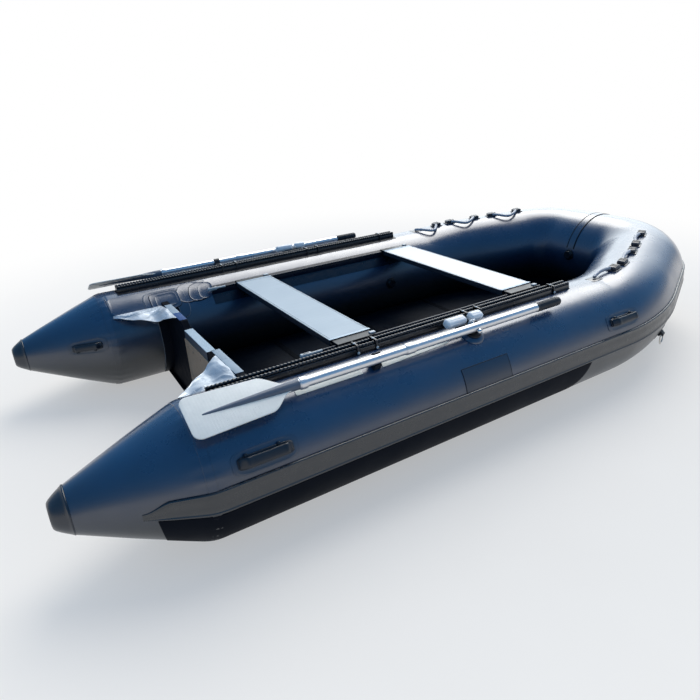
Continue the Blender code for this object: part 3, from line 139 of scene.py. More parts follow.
def seat_frame(s, deg, lift=0.0):
    """A frame on the skin: X forward, Y round towards the water, Z out of the skin."""
    probe = 0.001
    turn = degrees(probe / RADIUS)
    fore = (on_tube(s + probe, deg) - on_tube(s - probe, deg)).normalized()
    round_ = on_tube(s, deg - turn) - on_tube(s, deg + turn)
    out = fore.cross(round_).normalized()
    round_ = out.cross(fore)
    here = on_tube(s, deg) + out * lift
    return Matrix(((fore.x, round_.x, out.x, here.x), (fore.y, round_.y, out.y, here.y),
                   (fore.z, round_.z, out.z, here.z), (0, 0, 0, 1)))


def upright(x):
    """A frame whose Z runs forward, at x."""
    return Matrix(((0, 0, 1, x), (1, 0, 0, 0), (0, 1, 0, 0), (0, 0, 0, 1)))


# Node materials
class Nodes:
    """Short calls for building a node tree."""

    def __init__(self, tree, coords="Object"):
        self.tree = tree
        self.place = self.add("TexCoord").outputs[coords]

    def add(self, kind, inputs=None, **settings):
        node = self.tree.nodes.new("ShaderNode" + kind)
        for key, value in settings.items():
            setattr(node, key, value)
        for key, value in (inputs or {}).items():
            self.put(node.inputs[key], value)
        return node

    def put(self, socket, value):
        """Link a node's output to a socket, or set a plain value there."""
        if isinstance(value, bpy.types.NodeSocket):
            self.tree.links.new(value, socket)
        elif isinstance(value, tuple) and len(value) < len(socket.default_value):
            socket.default_value = (*value, 1)
        else:
            socket.default_value = value

    def stretched(self, scale):
        return self.add("Mapping", {"Vector": self.place, "Scale": scale}).outputs["Vector"]

    def noise(self, scale, detail=3.0, rough=0.5, where=None, distortion=0.0):
        return self.add("TexNoise", {"Scale": scale, "Detail": detail, "Roughness": rough, "Distortion": distortion,
                                     "Vector": where or self.place}).outputs["Fac"]

    def wave(self, scale, direction, where=None):
        return self.add("TexWave", {"Scale": scale, "Vector": where or self.place},
                        bands_direction=direction).outputs["Fac"]

    def ramp(self, fac, *stops):
        node = self.add("ValToRGB", {"Fac": fac})
        elements = node.color_ramp.elements
        while len(elements) < len(stops):
            elements.new(0.5)
        for element, (at, colour) in zip(elements, stops):
            element.position, element.color = at, (*colour, 1)
        return node.outputs["Color"]

    def range(self, value, low, high, start=0.0, end=1.0, **settings):
        return self.add("MapRange", {"Value": value, "From Min": start, "From Max": end, "To Min": low,
                                     "To Max": high}, **settings).outputs["Result"]

    def eased(self, value, start, end, low=0.0, high=1.0):
        return self.range(value, low, high, start, end, interpolation_type="SMOOTHSTEP")

    def patchy(self, scale, detail, rough, low, high):
        """Slow noise between two values."""
        return self.range(self.noise(scale, detail, rough), low, high, 0.3, 0.7)

    def math(self, operation, a, b, **settings):
        return self.add("Math", {0: a, 1: b}, operation=operation, **settings).outputs["Value"]

    def mix(self, fac, a, b):
        return self.add("Mix", {0: fac, 6: a, 7: b}, data_type="RGBA").outputs[2]

    def seen(self, *rays):
        """1 for the named kinds of ray."""
        path = self.add("LightPath")
        most = path.outputs[rays[0]]
        for ray in rays[1:]:
            most = self.math("MAXIMUM", most, path.outputs[ray])
        return most


class Look(Nodes):
    """A Principled material whose colour, roughness and bump come from procedural nodes."""

    def __init__(self, name, rough=0.5, metal=0.0, level=0.5, **fixed):
        self.mat = bpy.data.materials.new(name)
        self.mat.use_nodes = True
        super().__init__(self.mat.node_tree)
        self.shader = self.tree.nodes["Principled BSDF"]
        plain = {"Roughness": rough, "Metallic": metal, "Specular IOR Level": level}
        plain.update({key.replace("_", " "): value for key, value in fixed.items()})
        for key, value in plain.items():
            self.shader.inputs[key].default_value = value

    def colour(self, source):
        self.put(self.shader.inputs["Base Color"], source)

    def rough(self, source):
        self.put(self.shader.inputs["Roughness"], source)

    def bump(self, *heights):
        """Bump layers of (height source, strength, distance in metres), the outermost first; gives the material."""
        last = None
        for source, strength, distance in heights[::-1]:
            node = self.add("Bump", {"Strength": strength, "Distance": distance, "Height": source})
            if last:
                self.put(node.inputs["Normal"], last)
            last = node.outputs["Normal"]
        self.put(self.shader.inputs["Normal"], last)
        return self.mat


def shades(colour, spread):
    """Ramp stops a little darker and lighter than a colour."""
    return (0.3, tuple(c * (1 - spread) for c in colour)), (0.7, tuple(min(1.0, c * (1 + spread)) for c in colour))


def tinted(look, colour, spread=0.12, scale=6.0, dust=None, dust_share=0.06):
    """Base colour with slow mottling, under a faint dust; a dark surface takes a dark, bluish one."""
    if dust is None:
        dust = tuple(min(0.36, 0.03 + 0.02 * k + 1.5 * c) for k, c in enumerate(colour))
    base = look.ramp(look.noise(scale, 4.0, 0.6), *shades(colour, spread))
    amount = look.range(look.noise(scale * 5, 6.0, 0.7), 0.0, dust_share, 0.45, 0.8)
    mixed = look.mix(amount, base, dust)
    look.colour(mixed)
    return mixed


# Painted reflection of the ground: the grey-brown that coated fabric turns to low down, full below one height and gone
# above the other
GROUND_REFLECTION_TINT = (0.0058, 0.0060, 0.0060)
GROUND_TINT_FULL, GROUND_TINT_END, LOW_DOWN_ROUGH = 0.17, 0.38, 0.22


def fabric(name, colour, rough, level, dust_share=0.012, coat=0.0):
    """Boat fabric with a fine weave; a coated, glossy one is rougher low down and painted greyer there, a painted
    reflection of the ground.
    """
    look = Look(name, rough, level=level, Coat_Weight=coat, Coat_Roughness=0.20)
    clean = tinted(look, colour, 0.10, 4.0, None, dust_share)
    gloss = look.patchy(7.0, 5.0, 0.65, rough - 0.05, rough + 0.07)
    if coat:
        height = look.add("SeparateXYZ", {0: look.place}).outputs["Z"]
        edge = look.math("ADD", height, look.range(look.noise(5.0, 4.0, 0.6), -0.03, 0.03))
        # Painted reflection of the ground: the colour goes grey-brown towards the bottom
        share = look.range(edge, 1.0, 0.0, GROUND_TINT_FULL, GROUND_TINT_END)
        look.colour(look.mix(share, clean, GROUND_REFLECTION_TINT))
        gloss = look.math("ADD", gloss, look.math("MULTIPLY", share, LOW_DOWN_ROUGH))
    look.rough(gloss)
    uv = look.add("TexCoord").outputs["UV"]
    weave = look.math("MULTIPLY", look.wave(140.0, "X", uv), look.wave(140.0, "Y", uv))
    return look.bump((look.noise(9.0, 2.0, 0.4), 0.22, 0.004), (look.noise(1100.0, 1.0), 0.03, 0.0003),
                     (weave, 0.06, 0.0002))


def plastic(name, colour, rough=0.4, level=0.5, dust_share=0.05, grain=700.0, depth=0.15):
    """Moulded plastic or rubber with a fine grain, rubbed smoother in places."""
    look = Look(name, rough, level=level)
    tinted(look, colour, 0.10, 12.0, None, dust_share)
    look.rough(look.patchy(22.0, 4.0, 0.6, rough - 0.06, rough + 0.10))
    return look.bump((look.noise(grain, 2.0), depth, 0.0003), (look.noise(30.0, 2.0), 0.08, 0.002))


def metal(name, colour, rough, metallic, stretch, level=0.5):
    """Metal with drawn lines along one way and slow changes of gloss."""
    look = Look(name, rough, metallic, level)
    lines = look.noise(1.0, 3.0, 0.6, look.stretched(stretch))
    look.colour(look.ramp(lines, *shades(colour, 0.06)))
    look.rough(look.patchy(9.0, 4.0, 0.6, rough - 0.05, rough + 0.08))
    return look.bump((lines, 0.10, 0.0003))


def board_look():
    """Dark painted boards with a raised anti-slip grain."""
    look = Look("board_look", 0.55, level=0.16)
    tinted(look, (0.0022, 0.0055, 0.0115), 0.18, 9.0, (0.03, 0.05, 0.08), 0.03)
    dots = look.add("TexVoronoi", {"Scale": 260.0, "Vector": look.place}).outputs["Distance"]
    look.rough(look.patchy(11.0, 5.0, 0.6, 0.48, 0.64))
    return look.bump((dots, 0.25, 0.0006), (look.wave(10.0, "Y"), 0.06, 0.001))


def blade_look():
    """Off-white moulded plastic with faint waves across the blade."""
    look = Look("blade_look", 0.46, level=0.4)
    tinted(look, (0.80, 0.77, 0.70), 0.05, 14.0, (0.36, 0.35, 0.33), 0.14)
    return look.bump((look.wave(32.0, "X"), 0.10, 0.0006), (look.noise(500.0, 2.0), 0.10, 0.0003))


def silver_look():
    """Silver-coated cloth with fine creases in its sheen."""
    look = Look("silver_cloth_look", 0.34, metal=0.25, level=0.5)
    tinted(look, (0.47, 0.51, 0.55), 0.12, 30.0)
    look.rough(look.patchy(26.0, 5.0, 0.6, 0.26, 0.46))
    return look.bump((look.noise(38.0, 5.0, 0.6, distortion=0.6), 0.45, 0.006), (look.noise(900.0, 1.0), 0.08, 0.0003))


def cap_look():
    """Drawn lines; pale on faces that point up and dark on faces that point sideways or down."""
    look = Look("transom_cap_look", 0.48, 0.15, 0.3)
    lines = look.noise(1.0, 3.0, 0.6, look.stretched((6, 300, 6)))
    up = look.add("SeparateXYZ", {0: look.add("TexCoord").outputs["Normal"]}).outputs["Z"]
    pale = look.ramp(lines, (0.3, (0.32, 0.40, 0.46)), (0.7, (0.36, 0.45, 0.51)))
    look.colour(look.mix(look.range(up, 0.0, 1.0, 0.45, 0.75), (0.020, 0.036, 0.062), pale))
    look.rough(look.patchy(9.0, 4.0, 0.6, 0.43, 0.56))
    return look.bump((lines, 0.10, 0.0003))


DARK_FABRIC, DARK_PAINT = (0.0016, 0.0036, 0.0085), (0.0016, 0.0034, 0.0075)
ACROSS = (5, 260, 5)
# Each look: the record's material slot and the material
LOOKS = {
    "tube": ("tube_fabric", fabric("tube_fabric_look", (0.0030, 0.0340, 0.0930), 0.27, 0.9, coat=0.5)),
    "cap": ("tube_fabric", plastic("stern_cap_look", (0.0042, 0.0105, 0.0210), 0.32, 0.7, 0.02)),
    "band": ("tube_fabric", fabric("nose_band_look", (0.0030, 0.0320, 0.0880), 0.27, 0.9, coat=0.5)),
    "patch": ("tube_fabric", fabric("oval_patch_look", (0.0032, 0.0290, 0.0780), 0.29, 0.85, coat=0.45)),
    "side_patch": ("black_fabric", fabric("side_patch_look", (0.0032, 0.0220, 0.0570), 0.33, 0.75, coat=0.3)),
    "dark_line": ("black_plastic", plastic("glue_line_look", (0.0012, 0.0028, 0.0070), 0.5, 0.25)),
    "strake": ("strake_rubber", plastic("strake_look", (0.0060, 0.0088, 0.0130), 0.28, 0.9, 0.02)),
    "black_fabric": ("black_fabric", fabric("black_fabric_look", DARK_FABRIC, 0.55, 0.06, 0.01)),
    "inner_fabric": ("black_fabric", fabric("holder_look", DARK_FABRIC, 0.50, 0.15, 0.01)),
    "rail_base": ("black_fabric", fabric("rail_base_look", (0.0016, 0.0038, 0.0085), 0.42, 0.35, 0.03)),
    "pale_line": ("pad_plastic", plastic("pale_edge_look", (0.17, 0.18, 0.20), 0.45, 0.4)),
    # Pale strips under the oar: a painted highlight, not a material of the boat
    "strip": ("grey_plastic", plastic("oar_strip_look", (0.60, 0.61, 0.56), 0.42, 0.45)),
    "joiner": ("floor_aluminium", metal("joiner_look", (0.0035, 0.0055, 0.0090), 0.66, 0.05, (40, 3, 40), 0.08)),
    "transom": ("", plastic("transom_look", DARK_PAINT, 0.58, 0.03, 0.01, 300.0)),
    "trim": ("cap_metal", plastic("transom_trim_look", (0.26, 0.33, 0.39), 0.45, 0.35)),
    "shaded_trim": ("transom_paint", plastic("transom_trim_painted_shade_look", (0.013, 0.065, 0.200), 0.50, 0.15, 0.02)),
    "pad": ("pad_plastic", plastic("motor_pad_look", (0.30, 0.215, 0.150), 0.60, 0.15, grain=400.0)),
    # Lit and shaded copies of one aluminium: the front bench is painted near white as a painted highlight, the rear one
    # darker and bluer as painted shade
    "seat_rear": ("seat_aluminium", metal("rear_seat_look", (0.40, 0.455, 0.49), 0.50, 0.10, ACROSS, 0.25)),
    "seat_front": ("seat_aluminium", metal("front_seat_look", (0.78, 0.785, 0.78), 0.48, 0.10, ACROSS, 0.3)),
    # Painted shade for the benches' fore, aft and lower faces
    "seat_side": ("", metal("seat_side_look", (0.012, 0.019, 0.032), 0.45, 0.3, ACROSS)),
    "seat_end": ("seat_aluminium", metal("seat_end_look", (0.37, 0.45, 0.51), 0.38, 0.2, (300, 5, 5))),
    "black": ("black_plastic", plastic("black_plastic_look", (0.0025, 0.0048, 0.0090), 0.36, 0.40)),
    "rail": ("rail_rubber", plastic("rail_look", DARK_PAINT, 0.27, 0.5)),
    "rail_clip": ("black_plastic", plastic("rail_clip_look", (0.0060, 0.0095, 0.0160), 0.30, 0.5)),
    "track": ("black_fabric", plastic("track_look", (0.0030, 0.0085, 0.0210), 0.30, 0.45)),
    "clip": ("grey_plastic", plastic("clip_look", (0.55, 0.56, 0.55), 0.40, 0.5)),
    "shaft": ("shaft_aluminium", metal("shaft_look", (0.68, 0.68, 0.69), 0.30, 0.90, (4, 260, 260))),
    "spine": ("blade_plastic", plastic("spine_look", (0.090, 0.110, 0.145), 0.40, 0.45, 0.10)),
    "grip": ("black_plastic", plastic("grip_look", (0.0110, 0.0150, 0.0210), 0.50, 0.4, grain=900.0, depth=0.3)),
    "knuckle": ("grey_plastic", plastic("oarlock_look", (0.76, 0.77, 0.78), 0.22, 0.6, grain=200.0, depth=0.06)),
    "handle": ("black_plastic", plastic("handle_look", (0.0075, 0.0125, 0.0210), 0.36, 0.5, 0.02)),
    "lug": ("black_plastic", plastic("loop_lug_look", (0.0200, 0.0190, 0.0260), 0.24, 0.9)),
    "loop": ("loop_rope", plastic("loop_look", (0.34, 0.35, 0.39), 0.38, 0.6)),
    "steel": ("steel", metal("pin_steel_look", (0.62, 0.62, 0.63), 0.22, 1.0, (200, 200, 20))),
    "ring": ("ring_steel", metal("ring_steel_look", (0.66, 0.63, 0.58), 0.25, 0.95, (60, 60, 60))),
    "board": ("floor_board", board_look()),
    "blade": ("blade_plastic", blade_look()),
    "silver": ("silver_cloth", silver_look()),
    "cap_metal": ("", cap_look()),
}


# Mesh helpers
def solid(rows, caps=True):
    """Rings of points as a mesh with a UV in metres; caps close its two ends."""
    mesh = bpy.data.meshes.new("grid")
    count = len(rows[0])
    faces, uvs = [], []
    runs, v_at = [0.0], [0.0]
    for a, b in zip(rows[:-1], rows[1:]):
        runs.append(runs[-1] + (Vector(b[0]) - Vector(a[0])).length)
    middle = rows[len(rows) // 2]
    for i in range(count):
        v_at.append(v_at[-1] + (Vector(middle[(i + 1) % count]) - Vector(middle[i])).length)
    for r in range(len(rows) - 1):
        for i in range(count):
            j = (i + 1) % count
            faces.append((r * count + i, r * count + j, (r + 1) * count + j, (r + 1) * count + i))
            uvs += [(runs[r], v_at[i]), (runs[r], v_at[i + 1]), (runs[r + 1], v_at[i + 1]), (runs[r + 1], v_at[i])]
    if caps:
        for r in (0, len(rows) - 1):
            faces.append(tuple(range(r * count, (r + 1) * count)))
            uvs += [(p[1], p[2]) for p in rows[r]]
    mesh.from_pydata([p for row in rows for p in row], [], faces)
    layer = mesh.uv_layers.new(name="UVMap")
    layer.data.foreach_set("uv", [c for uv in uvs for c in uv])
    return tidy(mesh)


def tidy(mesh, bevel=0.0, segments=2):
    """Outward faces and, where asked, rounded edges."""
    work = bmesh.new()
    work.from_mesh(mesh)
    bmesh.ops.remove_doubles(work, verts=work.verts, dist=WELD)
    bmesh.ops.recalc_face_normals(work, faces=work.faces)
    if bevel:
        sharp = [e for e in work.edges if len(e.link_faces) == 2 and e.calc_face_angle(0) > SHARP]
        bmesh.ops.bevel(work, geom=sharp, offset=bevel, segments=segments, profile=0.5, affect="EDGES",
                        clamp_overlap=True)
    work.to_mesh(mesh)
    work.free()
    return mesh


def sheet_mesh(rows, thick, outward):
    """A grid thickened along its own normals, to the side that outward, a vector or a function, points to."""
    def moved(r, i):
        p = Vector(rows[r][i])
        a = Vector(rows[min(r + 1, len(rows) - 1)][i]) - Vector(rows[max(r - 1, 0)][i])
        b = Vector(rows[r][min(i + 1, len(rows[r]) - 1)]) - Vector(rows[r][max(i - 1, 0)])
        n = a.cross(b).normalized()
        return p + (n if n.dot(outward(p) if callable(outward) else outward) > 0 else -n) * thick
    rings = [list(map(Vector, row)) + [moved(r, i) for i in range(len(row))][::-1] for r, row in enumerate(rows)]
    return solid(rings)


def prism(outline, thick, where, bevel=0.0, segments=2):
    """A flat outline thickened about its own plane, with rounded edges."""
    n = len(outline)
    verts = [where @ Vector((x, y, z)) for z in (-thick / 2, thick / 2) for x, y in outline]
    faces = [tuple(range(n)), tuple(range(n, 2 * n))]
    faces += [(i, (i + 1) % n, n + (i + 1) % n, n + i) for i in range(n)]
    mesh = bpy.data.meshes.new("prism")
    mesh.from_pydata(verts, [], faces)
    return tidy(mesh, bevel, segments)


def box_mesh(low, high, where=Matrix(), bevel=0.0, segments=3):
    outline = [(low[0], low[1]), (high[0], low[1]), (high[0], high[1]), (low[0], high[1])]
    place = where @ Matrix.Translation((0, 0, (low[2] + high[2]) / 2))
    return prism(outline, high[2] - low[2], place, bevel, segments)


def lathe(profile, where=Matrix(), steps=48):
    """A profile of (radius, height) turned about the matrix's Z axis."""
    rows = []
    for r, h in profile:
        r = max(r, 0.00001)
        rows.append([where @ Vector((r * cos(2 * pi * i / steps), r * sin(2 * pi * i / steps), h))
                     for i in range(steps)])
    return solid(rows)


def frames_along(points, cyclic):
    """Moving frames without twist along a line of points."""
    last = len(points) - 1
    tangents = []
    for i in range(last + 1):
        a = points[i - 1] if i or cyclic else points[0]
        b = points[(i + 1) % (last + 1)] if i < last or cyclic else points[-1]
        tangents.append((b - a).normalized())
    side = tangents[0].orthogonal().normalized()
    out = []
    for t in tangents:
        side = (side - t * side.dot(t)).normalized()
        out.append((side, t.cross(side)))
    return out


def sweep(points, radius, sides=16, cyclic=False, pitch=0.0, strands=3, depth=0.0, flat=1.0):
    """A round bar along points; a pitch twists strands into it like a rope's lay."""
    rows, run = [], 0.0
    for k, (p, (u, v)) in enumerate(zip(points, frames_along(points, cyclic))):
        if k:
            run += (p - points[k - 1]).length
        row = []
        for i in range(sides):
            a = 2 * pi * i / sides
            r = radius[k] if isinstance(radius, list) else radius
            if pitch:
                r *= 1 - depth * (0.5 + 0.5 * cos(strands * a - 2 * pi * run / pitch))
            row.append(p + r * (cos(a) * u + flat * sin(a) * v))
        rows.append(row)
    if cyclic:
        rows.append(rows[0])
    return solid(rows, not cyclic)


def line_points(a, b, step):
    a, b = Vector(a), Vector(b)
    n = max(1, round((b - a).length / step))
    return [a.lerp(b, i / n) for i in range(n + 1)]


def smooth_ring(knots, per):
    """A smooth closed line through knots."""
    n = len(knots)
    out = []
    for i in range(n):
        p = [knots[(i + k) % n] for k in (-1, 0, 1, 2)]
        for j in range(per):
            t = j / per
            out.append(0.5 * (2 * p[1] + (p[2] - p[0]) * t + (2 * p[0] - 5 * p[1] + 4 * p[2] - p[3]) * t * t
                              + (3 * p[1] - p[0] - 3 * p[2] + p[3]) * t ** 3))
    return out


def squarish(power, steps):
    """Radius, cosine and sine round a squarish oval that fits a square of half side 1."""
    out = []
    for i in range(steps):
        a = 2 * pi * i / steps
        c, d = cos(a), sin(a)
        out.append(((abs(c) ** power + abs(d) ** power) ** (-1 / power), c, d))
    return out


def spread(a, b, count):
    return [a + (b - a) * i / count for i in range(count + 1)]


def mirrored(rows):
    """Port rows on the starboard side, in reverse order."""
    return [[Vector((p.x, -p.y, p.z)) for p in row] for row in rows[::-1]]


def joined(meshes):
    """Several closed bodies as one mesh."""
    work = bmesh.new()
    for mesh in meshes:
        work.from_mesh(mesh)
        bpy.data.meshes.remove(mesh)
    out = bpy.data.meshes.new("joined")
    work.to_mesh(out)
    work.free()
    return out


def piece(name, mesh, look, body="hull", stands_for="", smooth=40.0):
    """Show a mesh as a piece of the boat that moves with a body and stands for the named nodes."""
    slot, material = LOOKS[look]
    mesh.name = name
    mesh.materials.clear()
    mesh.materials.append(material)
    mesh.shade_smooth()
    mesh.set_sharp_from_angle(angle=radians(smooth))
    made = bpy.data.objects.new(name, mesh)
    bpy.context.scene.collection.objects.link(made)
    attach(made, body)
    if stands_for:
        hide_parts(*stands_for.split())
    return made


def pair(name, mesh, look, body="hull", stands_for="", smooth=40.0):
    """A port piece and its mirrored starboard copy; {} in a body or node name is the side."""
    other = mesh.copy()
    other.transform(Matrix.Diagonal((1, -1, 1, 1)))
    other.flip_normals()
    return [piece(name + "_" + side, data, look, body.format(side), stands_for.format(side), smooth)
            for side, data in (("port", mesh), ("starboard", other))]


def soften(nodes, look, width=0.0, segments=2):
    """CAD nodes that stay: their own material and a small rounding of their edges; {} in the name is the side."""
    for node in sorted({nodes.format(side) for side in ("port", "starboard")}):
        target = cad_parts[node]
        target.data.materials.clear()
        target.data.materials.append(LOOKS[look][1])
        if width:
            target.modifiers.new("Weld", "WELD").merge_threshold = WELD
            bevel = target.modifiers.new("Bevel", "BEVEL")
            bevel.width, bevel.segments, bevel.limit_method = width, segments, "ANGLE"
            bevel.angle_limit = NODE_SHARP


# The tubes
def relief(x, deg):
    """How far the inflated skin stands off its round: puckers at the cone's seam and slow unevenness."""
    a = radians(deg)
    lift = UNEVEN * wobble(x, cos(a) * 0.3, sin(a) * 0.3, UNEVEN_SCALE)
    near = abs(x - CONE_X)
    if near < PUCKER_REACH:
        fade = exp(-(near / PUCKER_SPREAD) ** 2)
        lift += fade * (PUCKER_HEIGHT * sin(PUCKERS * a + 2.2 * wobble(x, cos(a), sin(a), 3.0)) - PUCKER_SINK)
    return lift


def off_axis(p):
    """Out from the straight port tube's centre line."""
    return p - Vector((p.x, TUBE_Y, RADIUS))


def skin_sheet(runs, degs, lift, thick):
    """A thin sheet that follows the tube's skin."""
    def outward(p):
        return p - station(run_at(min(p.x, NOSE_X + 0.1)) if p.x > JOINT_X else p.x - JOINT_X)[0]
    return sheet_mesh([[on_tube(s, d, lift) for d in degs] for s in runs], thick, outward)


def tube_skin():
    """One skin from the port cone round the bow to the starboard one."""
    port, sides, s = [], 120, CAP_X - JOINT_X
    while s < BOW_RUN:
        x, row = JOINT_X + s, []
        for i in range(sides):
            lift = relief(x, 360 * i / sides) if s < 0 else UNEVEN * wobble(
                s, cos(i * 0.0524) * 0.3, sin(i * 0.0524) * 0.3, UNEVEN_SCALE) * (1 - smooth_step(1.0, BOW_RUN, s))
            row.append(on_tube(s, 360 * i / sides, lift))
        port.append(row)
        s += 0.0065 if x < -0.76 else (0.030 if x < JOINT_X - 0.03 else 0.014)
    piece("tube_skin", solid(port + mirrored(port)), "tube",
          stands_for="side_tube_port side_tube_starboard bow_tube", smooth=60)


def stern_caps():
    where = Matrix.Translation((STERN_X, TUBE_Y, RADIUS + CONE_LIFT)) @ Matrix.Rotation(pi / 2, 4, "Y")
    profile = [(0, 0), (0.031, 0), (0.0365, 0.0010), (0.0412, 0.0040), (0.0455, 0.0085), (0.0515, 0.0160),
               (0.0590, 0.0270), (0.0660, 0.0380), (0.0708, 0.0450), (0.0726, 0.0462), (0.0734, 0.0476),
               (0.0734, 0.0500), (0.0724, 0.0512), (0.070, 0.0515), (0, 0.0515)]
    pair("stern_cap", lathe(profile, where, 64), "cap", smooth=50)


def seams():
    """The welded lap at the cone."""
    outer = [[on_tube(CONE_X - JOINT_X + u, 3 * i, 0.0004 + h + relief(CONE_X + u, 3 * i)) for i in range(120)]
             for u, h in ((-0.0135, 0.0), (-0.0130, 0.0010), (0.0, 0.0011), (0.0130, 0.0010), (0.0135, 0.0))]
    pair("cone_seam", solid(outer, caps=False), "tube", smooth=25)


def nose_band():
    """The band over the bow's middle seam, with a dark glue line along each edge."""
    degs, middle, half = spread(16.0, 166.0, 72), -0.018, 0.022

    def strip(low, high, count, lift, thick):
        rows = [[Vector((NOSE_X + (RADIUS + lift) * cos(radians(d)), y,
                         RADIUS + BOW_RISE + (RADIUS + lift) * sin(radians(d)))) for d in degs]
                for y in spread(low, high, count)]
        return sheet_mesh(rows, thick, lambda p: p - Vector((NOSE_X, p.y, RADIUS + BOW_RISE)))
    piece("nose_band_skin", strip(middle - half, middle + half, 4, SKIN, 0.0016), "band", stands_for="nose_band",
          smooth=50)
    lines = [strip(y - 0.0028, y + 0.0028, 1, 0.0004, 0.0024) for y in (middle - half, middle + half)]
    piece("nose_band_edges", joined(lines), "dark_line", smooth=50)


def strake():
    """Rubber strip with a rounded rib along each edge."""
    profile = [(0, 0.0002), (0, 0.0035), (0.02, 0.0062), (0.05, 0.0077), (0.09, 0.0077), (0.12, 0.0062),
               (0.145, 0.0046), (0.30, 0.0044), (0.42, 0.0050), (0.50, 0.0053), (0.58, 0.0050), (0.70, 0.0044),
               (0.855, 0.0046), (0.88, 0.0062), (0.91, 0.0077), (0.95, 0.0077), (0.98, 0.0062), (1, 0.0035),
               (1, 0.0002)]
    tail, cone, low_deg, tall_deg, foot = -1.460 - JOINT_X, CONE_X - JOINT_X, -5, 19, 0.0002
    port = []
    for s in spread(tail, cone, 16) + spread(cone, 0, 60)[1:] + spread(0, BOW_RUN, 110)[1:]:
        on = smooth_step(-1.462 - JOINT_X, -1.385 - JOINT_X, s)
        port.append([on_tube(s, low_deg + tall_deg * (f * (0.45 + 0.55 * on)), foot + (h - foot) * (0.25 + 0.75 * on))
                     for f, h in profile])
    piece("strake_skin", solid(port[:-1] + mirrored(port)), "strake",
          stands_for="rubbing_strake", smooth=50)


def chine_guard():
    """Black wear fabric glued under the tube, from a slanted edge on the cone to a slanted front edge."""
    rows = []
    for i in range(121):
        row = []
        for j in range(25):
            down = -72 * j / 24
            front, back = 0.33 + 0.0012 * down, -1.425 - 0.0005 * down
            x, deg = back + (front - back) * i / 120, -6.5 + down
            row.append(on_tube(x - JOINT_X, deg, 0.0004 + max(0.0, relief(x, deg))))
        rows.append(row)
    pair("chine_guard", sheet_mesh(rows, 0.0012, off_axis), "black_fabric", smooth=50)


def bottom_skin():
    """The bottom fabric: a shallow V between the tubes that sweeps up under the bow, and the keel tube."""
    under, rise_x, keel_low = -120, 0.600, 0.006
    top = on_tube(BOW_RUN, under, SKIN)
    rows = []
    for s in spread(TRANSOM_X - TRANSOM_THICK - JOINT_X, 0, 30) + spread(0, BOW_RUN - 0.02, 60)[1:]:
        edge = on_tube(s, under, -0.0012)
        share = max(0.0, (edge.x - rise_x) / (top.x - rise_x))
        low = keel_low + (top.z - keel_low) * min(1.0, share) ** 2
        rows.append([Vector((edge.x, edge.y * j / 8, low + (edge.z - low) * abs(j / 8))) for j in range(-8, 9)])
    mesh = sheet_mesh(rows, 0.002, Vector((0, 0, -1)))
    piece("bottom_skin", mesh, "black_fabric", stands_for="hull_bottom", smooth=25)
    points = line_points((-0.985, 0, 0.02995), (0.585, 0, 0.02995), 0.03)
    radii = [0.0236] * len(points)
    for k, r in enumerate((0.0150, 0.0215)):
        radii[k] = radii[-1 - k] = r
    piece("keel_skin", sweep(points, radii, 32), "tube", stands_for="keel_tube")


def floor_parts():
    """Four painted boards, the joining strips between them and the edge channels."""
    gap, half, mid, front = 0.002, 0.460, FLOOR_Z + BOARD_THICK / 2, 0.94
    first = 0.5 + gap
    bend = first + (front - first) * 0.3
    outlines = [[(first, -half), (bend, -half), (front - 0.02, -0.354), (front, -0.335), (front, 0.335),
                 (front - 0.02, 0.354), (bend, half), (first, half)]]
    for x0, x1 in ((-0.99, -0.5), (-0.5, 0.0), (0.0, 0.5)):
        outlines.append([(x0 + gap, -half), (x1 - gap, -half), (x1 - gap, half), (x0 + gap, half)])
    boards = [prism(o, BOARD_THICK, Matrix.Translation((0, 0, mid)), 0.0012) for o in outlines]
    piece("floor_board_set", joined(boards), "board", stands_for="floor_boards")
    strips, thick = [], 0.00075
    for x in (-0.5, 0.0, 0.5):
        for side in (-1, 1):
            z = mid + side * (BOARD_THICK / 2 + thick + 0.0001)
            strips.append(box_mesh((x - 0.015, -0.432, z - thick), (x + 0.015, 0.432, z + thick), bevel=0.0006))
        for k in (-0.008, 0.0, 0.008):
            top = mid + BOARD_THICK / 2 + 0.0016
            strips.append(box_mesh((x + k - 0.0012, -0.431, top), (x + k + 0.0012, 0.431, top + 0.0008),
                                   bevel=0.0003))
    piece("joining_strips", joined(strips), "joiner")
    soften("floor_stringer_{}", "joiner", 0.0004)


# The stern
def transom_parts():
    """The board, its motor pad and cap, pale strips along its top edge, the port inner one in painted shade, and the
    pad's bolts.
    """
    soften("transom", "transom", 0.003, 3)
    soften("motor_pad", "pad", 0.0012)
    soften("transom_cap", "cap_metal", 0.0005)
    top, well, corner, outer = 0.394, 0.197, 0.300, 0.434

    def strip(low, high, above):
        return box_mesh((TRANSOM_X - 0.0158, low, top - 0.0006), (TRANSOM_X + 0.0158, high, top + above),
                        bevel=0.0008)
    pair("transom_trim", strip(corner, outer, 0.0016), "trim")
    # The port inner strip is the pale trim in painted shade
    piece("transom_inner_trim_port", strip(well, corner, 0.0014), "shaded_trim")
    piece("transom_inner_trim_starboard", strip(-corner, -well, 0.0014), "trim")
    bolts = []
    for y in (0.045, 0.115):
        for z in (0.165, 0.300):
            where = Matrix.Translation((TRANSOM_X - 0.0213, y, z)) @ Matrix.Rotation(-pi / 2, 4, "Y")
            bolts.append(lathe([(0, -0.001), (0.0065, -0.001), (0.0065, 0.0006), (0.005, 0.0020), (0, 0.0026)],
                               where, 24))
    pair("pad_bolt", joined(bolts), "pad")


